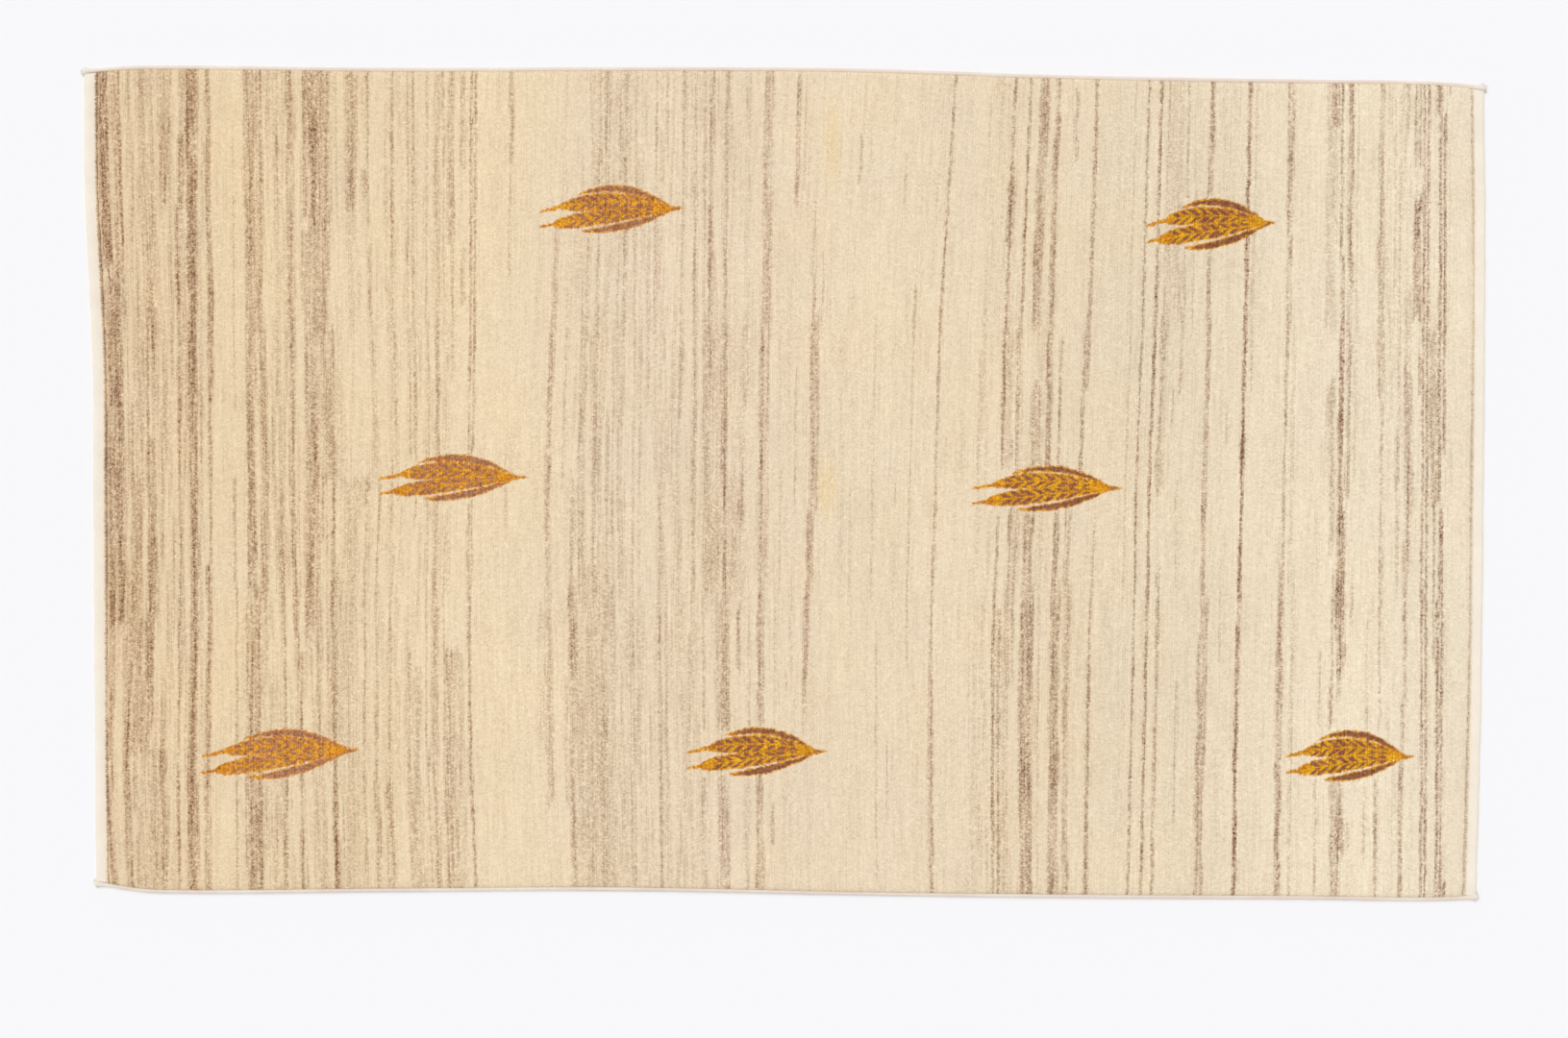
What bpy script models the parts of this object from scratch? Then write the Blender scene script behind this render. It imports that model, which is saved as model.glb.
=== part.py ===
"""A hand-knotted gabbeh rug of about 2.0 by 1.2 m, lying flat with its pile up.

The rug is one knotted cloth, whose plain-woven ends are turned under as rounded hems, and an overcast
wool binding along each long edge. X runs along the rug, Y across it, and Z = 0 is the floor. "Far" is
the long edge at +Y and "near" the one at -Y. The origin is the middle of the rug's footprint.
"""

import math
from collections import namedtuple

import bmesh
import bpy

MM = 0.001

HALF_LENGTH = 1.000  # nominal, from the middle to the outside of each hem
HALF_WIDTH = 0.594  # nominal, from the middle to the outside of each binding
BINDING_WIDTH = 6.4 * MM
BINDING_HEIGHT = 7.0 * MM
SEAT_GAP = 0.3 * MM  # between the cloth and each binding

# A hand-woven rug is never quite square: each edge wanders outward (+) or inward (-) of its nominal line.
LongEdge = namedtuple("LongEdge", "at_m far_mm near_mm")
LONG_EDGES = (
    LongEdge(-1.000, -7.0, -5.0),
    LongEdge(-0.910, -1.0, 5.0),
    LongEdge(-0.580, -1.0, 0.0),
    LongEdge(-0.245, 3.5, -5.0),
    LongEdge(0.085, 5.0, -2.0),
    LongEdge(0.420, -2.0, -1.0),
    LongEdge(0.750, -4.5, -2.5),
    LongEdge(0.915, -5.0, -2.0),
    LongEdge(1.000, -11.0, -5.0),
)
EndEdge = namedtuple("EndEdge", "at_m left_mm right_mm")
END_EDGES = (
    EndEdge(-0.585, -18.0, 6.0),
    EndEdge(-0.420, -15.0, 9.0),
    EndEdge(-0.250, -12.0, 11.0),
    EndEdge(0.000, -8.0, 11.0),
    EndEdge(0.160, -6.0, 11.0),
    EndEdge(0.410, 8.0, 9.5),
    EndEdge(0.575, 11.0, 6.0),
)

# The cloth's top, from the outside of an end inwards: the rounded hem, its inner dip, then the pile.
EndStep = namedtuple("EndStep", "inset_mm height_mm")
END_PROFILE = (
    EndStep(0.9, 4.6),
    EndStep(3.0, 5.9),
    EndStep(8.0, 6.2),
    EndStep(14.0, 5.6),
    EndStep(17.2, 5.2),
    EndStep(18.8, 7.8),
    EndStep(21.0, 9.7),
    EndStep(27.0, 10.4),
)
# The cloth's top beside a binding, as a share of the height that the place has further in.
SideStep = namedtuple("SideStep", "inset_mm share")
SIDE_PROFILE = (
    SideStep(0.8, 0.76),
    SideStep(3.0, 0.94),
    SideStep(9.0, 1.0),
)
WALL_BULGE_HEIGHT = 2.6 * MM  # the cloth's wall reaches furthest out here, and tucks in below it
WALL_TUCK = 1.5 * MM
FIELD_CELLS_ALONG = 46
FIELD_CELLS_ACROSS = 27

# Long, low waves of the clipped pile. A wave whose crests run straight across has no length across.
PileWave = namedtuple("PileWave", "height_mm along_m across_m start_rad")
PILE_WAVES = (
    PileWave(0.45, 0.86, None, 0.4),
    PileWave(0.30, 0.37, 0.92, 2.1),
    PileWave(0.25, 0.61, 0.34, 4.4),
    PileWave(0.20, 0.23, 0.55, 1.2),
)

BINDING_SIDES = 8
# Each binding ends in a small knot. Places are past the outside of the hem.
KnotRing = namedtuple("KnotRing", "past_mm thickness")
KNOT = (
    KnotRing(-12.0, 1.0),
    KnotRing(-7.0, 1.14),
    KnotRing(-2.5, 1.30),
    KnotRing(1.0, 1.22),
    KnotRing(2.6, 0.80),
)

Finish = namedtuple("Finish", "red green blue roughness")
PILE_FINISH = Finish(231, 210, 178, 0.95)
BINDING_FINISH = Finish(226, 206, 182, 0.9)
DISPLAY_GAMMA = 2.2
SHARP_ANGLE = math.radians(50)


def wander(table, column, at):
    """A smooth curve through one column of an edge table, in metres, flat past the table's ends."""
    places = [row.at_m for row in table]
    values = [getattr(row, column) * MM for row in table]
    at = min(max(at, places[0]), places[-1])
    last = len(table) - 2
    i = next((k for k in range(last) if at < places[k + 1]), last)
    span = places[i + 1] - places[i]

    def slope(k):
        before, after = max(k - 1, 0), min(k + 1, len(table) - 1)
        return (values[after] - values[before]) / (places[after] - places[before])

    t = (at - places[i]) / span
    return (
        (2 * t**3 - 3 * t**2 + 1) * values[i]
        + (t**3 - 2 * t**2 + t) * span * slope(i)
        + (3 * t**2 - 2 * t**3) * values[i + 1]
        + (t**3 - t**2) * span * slope(i + 1)
    )


def place(along, across):
    """The real place of a point given on the nominal rectangle."""
    right_share = 0.5 * (1 + along / HALF_LENGTH)
    far_share = 0.5 * (1 + across / HALF_WIDTH)
    right = wander(END_EDGES, "right_mm", across)
    left = wander(END_EDGES, "left_mm", across)
    far = wander(LONG_EDGES, "far_mm", along)
    near = wander(LONG_EDGES, "near_mm", along)
    x = along + right * right_share - left * (1 - right_share)
    y = across + far * far_share - near * (1 - far_share)
    return x, y


def pile_wave(along, across):
    """How far the clipped pile stands above or below its mean height here."""
    total = 0.0
    for wave in PILE_WAVES:
        turns = along / wave.along_m
        if wave.across_m:
            turns += across / wave.across_m
        total += wave.height_mm * MM * math.sin(2 * math.pi * turns + wave.start_rad)
    return total


def both_ways(profile, half, cells):
    """The rows of a grid over one direction: the profile at each edge, and even cells between them."""
    first = [(-half + inset * MM, value) for inset, value in profile]
    inner = half - profile[-1].inset_mm * MM
    middle = [(-inner + 2 * inner * k / cells, profile[-1][1]) for k in range(1, cells)]
    return first + middle + [(-at, value) for at, value in reversed(first)]


def rows_along():
    return both_ways(END_PROFILE, HALF_LENGTH, FIELD_CELLS_ALONG)


def new_object(name, mesh, finish):
    """An object with its own material, from a bmesh."""
    bmesh.ops.recalc_face_normals(mesh, faces=mesh.faces)
    data = bpy.data.meshes.new(name)
    mesh.to_mesh(data)
    mesh.free()
    data.shade_smooth()
    data.set_sharp_from_angle(angle=SHARP_ANGLE)
    material = bpy.data.materials.new(name)
    material.use_nodes = True
    shader = material.node_tree.nodes["Principled BSDF"]
    levels = (finish.red, finish.green, finish.blue)
    colour = [(level / 255) ** DISPLAY_GAMMA for level in levels]
    shader.inputs["Base Color"].default_value = (*colour, 1.0)
    shader.inputs["Roughness"].default_value = finish.roughness
    shader.inputs["Metallic"].default_value = 0.0
    data.materials.append(material)
    obj = bpy.data.objects.new(name, data)
    bpy.context.scene.collection.objects.link(obj)
    return obj


def bridge(mesh, upper, lower):
    """Quads between two closed rings of as many points."""
    for k in range(len(upper)):
        after = (k + 1) % len(upper)
        mesh.faces.new((upper[k], upper[after], lower[after], lower[k]))


def make_rug_cloth():
    """Ground weave, pile and both end hems: one closed sheet with a flat underside."""
    half_width = HALF_WIDTH - BINDING_WIDTH - SEAT_GAP
    along_rows = rows_along()
    across_rows = both_ways(SIDE_PROFILE, half_width, FIELD_CELLS_ACROSS)
    pile_edge = HALF_LENGTH - END_PROFILE[-1].inset_mm * MM
    mesh = bmesh.new()
    top = []
    for along, height_mm in along_rows:
        row = []
        for across, share in across_rows:
            height = height_mm * MM * share
            if abs(along) <= pile_edge:
                height += pile_wave(along, across) * share
            row.append(mesh.verts.new((*place(along, across), height)))
        top.append(row)
    for row, next_row in zip(top, top[1:]):
        for corners in zip(row, next_row, next_row[1:], row[1:]):
            mesh.faces.new(corners)

    last_along, last_across = len(along_rows) - 1, len(across_rows) - 1
    loop = [(i, 0) for i in range(last_along)]
    loop += [(last_along, j) for j in range(last_across)]
    loop += [(i, last_across) for i in range(last_along, 0, -1)]
    loop += [(0, j) for j in range(last_across, 0, -1)]

    def wall_ring(tuck, height):
        ring = []
        for i, j in loop:
            along, across = along_rows[i][0], across_rows[j][0]
            if i in (0, last_along):
                along = math.copysign(HALF_LENGTH - tuck, along)
            if j in (0, last_across):
                across = math.copysign(half_width - tuck, across)
            ring.append(mesh.verts.new((*place(along, across), height)))
        return ring

    rim = [top[i][j] for i, j in loop]
    bulge = wall_ring(0.0, WALL_BULGE_HEIGHT)
    foot = wall_ring(WALL_TUCK, 0.0)
    bridge(mesh, rim, bulge)
    bridge(mesh, bulge, foot)
    mesh.faces.new(foot)
    return new_object("rug_cloth", mesh, PILE_FINISH)


def make_binding(name, side):
    """The overcast binding of one long edge: a cord flat underneath, with a small knot at each end."""
    knot_start = HALF_LENGTH + KNOT[0].past_mm * MM
    stations = [(at, 1.0) for at, _ in rows_along() if abs(at) < knot_start]
    right = [(HALF_LENGTH + ring.past_mm * MM, ring.thickness) for ring in KNOT]
    left = [(-at, thickness) for at, thickness in reversed(right)]
    inner_edge = HALF_WIDTH - BINDING_WIDTH
    reach = 1 / math.cos(math.pi / BINDING_SIDES)  # corners stand out so that the flats have the full size
    mesh = bmesh.new()
    rings = []
    for along, thickness in left + stations + right:
        half_width = 0.5 * BINDING_WIDTH * thickness
        half_height = 0.5 * BINDING_HEIGHT * thickness
        ring = []
        for k in range(BINDING_SIDES):
            turn = 2 * math.pi * (k + 0.5) / BINDING_SIDES
            across = side * (inner_edge + half_width * (1 + reach * math.cos(turn)))
            height = half_height * (1 + reach * math.sin(turn))
            ring.append(mesh.verts.new((*place(along, across), height)))
        rings.append(ring)
    for ring, next_ring in zip(rings, rings[1:]):
        bridge(mesh, ring, next_ring)
    mesh.faces.new(rings[0])
    mesh.faces.new(rings[-1])
    return new_object(name, mesh, BINDING_FINISH)


for old in list(bpy.data.objects):
    bpy.data.objects.remove(old)
make_rug_cloth()
make_binding("binding_far", 1)
make_binding("binding_near", -1)
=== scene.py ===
"""The looks of a flat gabbeh rug: knotted pile, woven cloth with its hems, and overcast bindings.

The colours of the pile are worked out point by point from charts of the rug's own weaving: its ground
tints, its streaks of undyed brown wool and its seven sprigs. Charts are in pixels of the reference
picture, which looks straight down, and photo_place() and real_place() turn them into metres and back.
"""

import math
from collections import namedtuple

import bpy
import numpy as np
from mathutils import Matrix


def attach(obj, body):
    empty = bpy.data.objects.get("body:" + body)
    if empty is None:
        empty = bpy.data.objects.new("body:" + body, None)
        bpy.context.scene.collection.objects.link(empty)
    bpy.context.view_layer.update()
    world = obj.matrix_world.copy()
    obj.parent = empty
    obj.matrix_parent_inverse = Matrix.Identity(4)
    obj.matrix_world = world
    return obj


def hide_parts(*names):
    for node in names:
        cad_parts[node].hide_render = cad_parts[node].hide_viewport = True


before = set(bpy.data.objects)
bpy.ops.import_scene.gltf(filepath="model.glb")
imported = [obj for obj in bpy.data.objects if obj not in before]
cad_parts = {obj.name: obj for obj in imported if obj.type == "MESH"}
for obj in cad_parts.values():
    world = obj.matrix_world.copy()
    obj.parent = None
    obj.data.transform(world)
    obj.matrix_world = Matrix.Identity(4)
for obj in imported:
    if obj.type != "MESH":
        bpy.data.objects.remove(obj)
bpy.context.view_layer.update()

MM = 0.001

# The rug's sizes, as in the CAD model.
FLOOR_CLEARANCE = 0.05 * MM
HALF_LENGTH = 1.000
HALF_WIDTH = 0.594
BINDING_WIDTH = 6.4 * MM
BINDING_HEIGHT = 7.0 * MM
SEAT_GAP = 0.3 * MM
CLOTH_HALF_WIDTH = HALF_WIDTH - BINDING_WIDTH - SEAT_GAP
LongEdge = namedtuple("LongEdge", "at_m far_mm near_mm")
LONG_EDGES = (
    LongEdge(-1.000, -7.0, -5.0),
    LongEdge(-0.910, -1.0, 5.0),
    LongEdge(-0.580, -1.0, 0.0),
    LongEdge(-0.245, 3.5, -5.0),
    LongEdge(0.085, 5.0, -2.0),
    LongEdge(0.420, -2.0, -1.0),
    LongEdge(0.750, -4.5, -2.5),
    LongEdge(0.915, -5.0, -2.0),
    LongEdge(1.000, -11.0, -5.0),
)
EndEdge = namedtuple("EndEdge", "at_m left_mm right_mm")
END_EDGES = (
    EndEdge(-0.585, -18.0, 6.0),
    EndEdge(-0.420, -15.0, 9.0),
    EndEdge(-0.250, -12.0, 11.0),
    EndEdge(0.000, -8.0, 11.0),
    EndEdge(0.160, -6.0, 11.0),
    EndEdge(0.410, 8.0, 9.5),
    EndEdge(0.575, 11.0, 6.0),
)
PileWave = namedtuple("PileWave", "height_mm along_m across_m start_rad")
PILE_WAVES = (
    PileWave(0.45, 0.86, None, 0.4),
    PileWave(0.30, 0.37, 0.92, 2.1),
    PileWave(0.25, 0.61, 0.34, 4.4),
    PileWave(0.20, 0.23, 0.55, 1.2),
)
PILE_HEIGHT = 10.3 * MM

# The picture: what one of its pixels is on the rug, and where its middle lies.
PIXEL = 1.382 * MM
PHOTO_TURN = 0.01  # radians that the rug lies turned in the picture
PHOTO_MIDDLE_X, PHOTO_MIDDLE_Y = 818, 506  # the pixel over the rug's middle, nearly
MIDDLE_X, MIDDLE_Y = 0.0067, -0.0040  # where that pixel lies on the rug
PHOTO_WIDTH, PHOTO_HEIGHT = 1631, 1080

# The rows of knots don't run quite straight across. How far right of its place at the far edge a row
# has got at each height of the picture, for rows that start at at_px.
Lean = namedtuple("Lean", "at_px y80 y335 y505 y640 y800 y930")
LEAN = (
    Lean(100, 0, 8, 10, 12, 8, 14),
    Lean(210, 0, 3, 4, 4, 2, 3),
    Lean(300, 0, 2, 4, 6, 9, 10),
    Lean(400, 0, 1, 4, -2, -3, 2),
    Lean(490, 0, -1, -3, -3, -1, 4),
    Lean(580, 0, -5, -10, -9, -7, -4),
    Lean(740, 0, -3, -4, -4, -3, -2),
    Lean(800, 0, -4, -6, -8, -7, -8),
    Lean(900, 0, -12, -14, -16, -16, -15),
    Lean(990, 0, -17, -22, -26, -26, -25),
    Lean(1050, 0, -11, -14, -21, -22, -21),
    Lean(1200, 0, -7, -14, -16, -20, -23),
    Lean(1300, 0, -6, -10, -13, -17, -18),
    Lean(1345, 0, -4, -8, -10, -13, -15),
    Lean(1480, 0, -2, -3, -4, -4, -5),
    Lean(1530, 0, 0, -1, -2, -4, -6),
)
LEAN_HEIGHTS = (80, 335, 505, 640, 800, 930)

# The undyed wool's own colour, from left to right.
Ground = namedtuple("Ground", "at_px red green blue")
GROUND = (
    Ground(100, 236, 211, 175),
    Ground(240, 239, 215, 178),
    Ground(400, 240, 217, 181),
    Ground(540, 243, 221, 186),
    Ground(640, 238, 217, 187),
    Ground(760, 239, 218, 188),
    Ground(900, 241, 221, 190),
    Ground(1100, 239, 219, 188),
    Ground(1250, 239, 221, 192),
    Ground(1400, 244, 228, 200),
    Ground(1535, 242, 226, 200),
)
# Stretches where many thin uneven rows of browner wool lie side by side.
Shade = namedtuple("Shade", "from_px to_px depth red")
SHADES = (
    Shade(100, 215, 0.15, 0.6),
    Shade(215, 256, 0.03, 0.6),
    Shade(256, 350, 0.13, 0.6),
    Shade(350, 470, 0.07, 0.5),
    Shade(470, 600, 0.03, 0.4),
    Shade(600, 765, 0.09, 0.35),
    Shade(765, 860, 0.04, 0.4),
    Shade(860, 1030, 0.03, 0.4),
    Shade(1030, 1105, 0.07, 0.4),
    Shade(1105, 1330, 0.03, 0.4),
    Shade(1330, 1440, 0.03, 0.5),
    Shade(1440, 1512, 0.05, 0.5),
    Shade(1512, 1540, 0.01, 0.5),
)

# The rug's streaks. Each is where its middle crosses the middle of its own run, how wide it is, how
# much brown wool is in it, how reddish that wool is, and from where to where it runs down the picture.
Streak = namedtuple("Streak", "at_px width_px depth red from_px to_px")
STREAKS_LEFT = (
    (108.5, 10, 0.80, 1.0, 60, 274),
    (102.5, 4, 0.35, 0.0, 60, 285),
    (112, 3, 0.60, 0.9, 240, 285),
    (119, 20, 0.42, 0.7, 285, 650),
    (126, 8, 0.22, 0.6, 330, 650),
    (115.5, 5, 0.35, 1.0, 406, 428),
    (121, 11, 0.38, 0.8, 60, 285),
    (126.5, 3, 0.35, 0.9, 120, 330),
    (134, 4, 0.15, 0.5, 60, 138),
    (153, 14, 0.14, 0.6, 60, 340),
    (147.5, 1.6, 0.20, 0.6, 60, 330),
    (152.5, 2.5, 0.25, 0.6, 228, 283),
    (158, 1.6, 0.20, 0.6, 60, 288),
    (157, 8, 0.28, 0.6, 288, 350),
    (138, 1.8, 0.30, 0.6, 419, 493),
    (142.5, 11, 0.34, 0.6, 493, 640),
    (154.5, 3, 0.45, 0.7, 330, 640),
    (160, 2, 0.30, 0.6, 330, 430),
    (159, 9, 0.32, 0.6, 460, 640),
    (117, 6, 0.70, 1.0, 613, 656),
    (113.5, 8, 0.42, 0.7, 654, 940),
    (110, 4, 0.35, 0.7, 750, 795),
    (132.5, 7, 0.50, 0.7, 600, 940),
    (148.5, 22, 0.34, 0.6, 640, 780),
    (157, 6, 0.25, 0.6, 620, 719),
    (157.5, 36, 0.20, 0.6, 775, 925),
    (170.5, 7, 0.26, 0.6, 775, 925),
    (170.5, 14, 0.28, 0.7, 60, 145),
    (170, 8, 0.42, 0.7, 140, 187),
    (171, 4, 0.35, 0.7, 185, 214),
    (173.5, 3, 0.26, 0.6, 360, 478),
    (195.5, 7, 0.30, 0.7, 60, 146),
    (188.5, 7, 0.50, 0.8, 146, 212),
    (187.5, 3, 0.48, 0.7, 212, 940),
    (187, 5, 0.25, 0.7, 376, 440),
    (201.7, 9.5, 0.62, 0.75, 60, 940),
    (205.5, 2, 0.25, 0.8, 60, 150),
    (205, 3, 0.40, 0.8, 317, 330),
    (209.3, 1.8, 0.55, 1.0, 400, 483),
    (217.5, 6, 0.50, 0.7, 60, 413),
    (215, 8, 0.20, 0.7, 145, 175),
    (219.3, 2.6, 0.45, 0.7, 413, 590),
    (216.5, 5, 0.50, 0.7, 590, 940),
    (243, 1.8, 0.26, 0.6, 146, 428),
    (244.5, 3, 0.40, 0.6, 496, 607),
    (246.5, 2, 0.40, 0.6, 607, 940),
    (258, 9, 0.42, 0.7, 60, 340),
    (267, 9, 0.36, 0.7, 60, 340),
    (271.5, 1.6, 0.35, 0.8, 60, 340),
    (261.5, 9, 0.50, 0.7, 340, 620),
    (274.5, 8, 0.30, 0.7, 340, 620),
    (274.5, 7, 0.20, 0.8, 533, 620),
    (264, 16, 0.30, 0.6, 620, 940),
    (262, 2, 0.40, 0.7, 620, 940),
    (270.3, 2.4, 0.40, 0.7, 620, 940),
    (277, 2, 0.30, 0.7, 600, 654),
    (287.5, 5, 0.12, 0.6, 60, 340),
    (287.5, 4.5, 0.22, 0.7, 146, 215),
    (292, 4, 0.14, 0.6, 340, 620),
    (292, 3.5, 0.25, 0.7, 528, 580),
    (297.5, 2.4, 0.35, 0.7, 567, 940),
    (296.5, 7, 0.22, 0.6, 806, 940),
    (301, 5, 0.50, 0.75, 60, 340),
    (304.5, 3, 0.50, 0.8, 340, 495),
    (306, 4.5, 0.60, 0.8, 495, 600),
    (307.5, 4.5, 0.60, 0.8, 600, 660),
    (311, 3, 0.50, 0.8, 655, 700),
    (314.5, 4.5, 0.58, 0.8, 685, 722),
    (314.5, 3.5, 0.50, 0.75, 722, 940),
    (317, 5, 0.45, 0.7, 60, 225),
    (332, 21, 0.42, 0.7, 60, 235),
    (325, 8, 0.20, 0.8, 120, 240),
    (329, 28, 0.30, 0.7, 235, 340),
    (324, 12, 0.40, 0.65, 340, 500),
    (327.8, 2, 0.45, 1.0, 400, 480),
    (341, 14, 0.30, 0.5, 330, 500),
    (323, 10, 0.38, 0.7, 500, 655),
    (330.5, 3, 0.40, 0.7, 495, 620),
    (336, 2.4, 0.50, 0.8, 495, 562),
    (347.5, 3, 0.50, 0.7, 495, 600),
    (330.5, 4, 0.30, 0.6, 600, 760),
    (348.5, 6.5, 0.52, 0.7, 600, 940),
    (363, 20, 0.15, 0.4, 495, 940),
    (364.5, 8, 0.30, 0.6, 60, 216),
    (366, 3, 0.30, 0.7, 150, 218),
    (370.7, 2, 0.30, 0.8, 60, 190),
    (378, 6, 0.20, 0.6, 172, 212),
    (365, 8, 0.15, 0.5, 216, 340),
    (382.5, 2.2, 0.40, 0.7, 60, 232),
    (385, 2.2, 0.35, 0.6, 246, 340),
    (388.5, 2.4, 0.28, 0.6, 340, 480),
    (382.5, 5, 0.42, 0.6, 492, 530),
    (380.3, 2.2, 0.42, 0.7, 530, 640),
    (379.3, 2.4, 0.50, 0.7, 640, 940),
    (393.5, 2.6, 0.42, 0.7, 500, 620),
    (392, 3, 0.42, 0.7, 620, 815),
    (394.5, 6, 0.42, 0.6, 815, 940),
    (401.3, 1.8, 0.20, 0.6, 110, 300),
    (403.5, 2.2, 0.30, 0.6, 290, 350),
    (407.7, 3.6, 0.45, 0.8, 60, 245),
    (408, 2, 0.35, 0.6, 245, 340),
    (411.5, 2.2, 0.40, 0.7, 340, 450),
    (408, 2, 0.35, 0.6, 470, 560),
    (406, 2.4, 0.40, 0.7, 560, 820),
    (407.5, 6.5, 0.42, 0.6, 815, 940),
    (424.3, 2, 0.35, 0.6, 60, 340),
    (429.5, 2.2, 0.42, 0.7, 60, 340),
    (426.5, 2, 0.40, 0.6, 340, 480),
    (432, 2.2, 0.45, 0.7, 340, 478),
    (432, 2, 0.35, 0.6, 515, 545),
    (426, 3, 0.30, 0.6, 676, 940),
    (434.5, 9, 0.22, 0.5, 695, 940),
    (443.7, 1.8, 0.30, 0.6, 60, 340),
    (446, 1.8, 0.35, 0.6, 340, 480),
    (444.3, 1.8, 0.35, 0.6, 520, 620),
    (443.5, 2, 0.35, 0.6, 620, 780),
    (448, 2, 0.35, 0.6, 780, 940),
    (454, 4.5, 0.32, 0.6, 60, 340),
    (455, 4, 0.50, 0.7, 340, 480),
    (453, 4.5, 0.40, 0.6, 520, 620),
    (453, 6, 0.32, 0.6, 620, 940),
    (461.3, 1.8, 0.35, 0.6, 60, 354),
    (462, 1.8, 0.30, 0.6, 548, 940),
    (469.5, 7, 0.30, 0.6, 60, 247),
    (471, 3, 0.25, 0.6, 247, 395),
    (469, 11, 0.35, 0.6, 680, 940),
    (482, 6, 0.28, 0.6, 60, 178),
    (481.5, 5, 0.28, 0.6, 256, 314),
    (480, 8, 0.20, 0.5, 674, 940),
    (489.6, 2.6, 0.55, 0.75, 60, 475),
    (494, 2.6, 0.55, 0.75, 60, 475),
    (487, 2.2, 0.45, 0.7, 520, 600),
    (490.3, 2.4, 0.50, 0.7, 520, 600),
    (488.5, 3.5, 0.60, 0.75, 600, 800),
    (493, 3.5, 0.60, 0.75, 800, 940),
)
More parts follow.
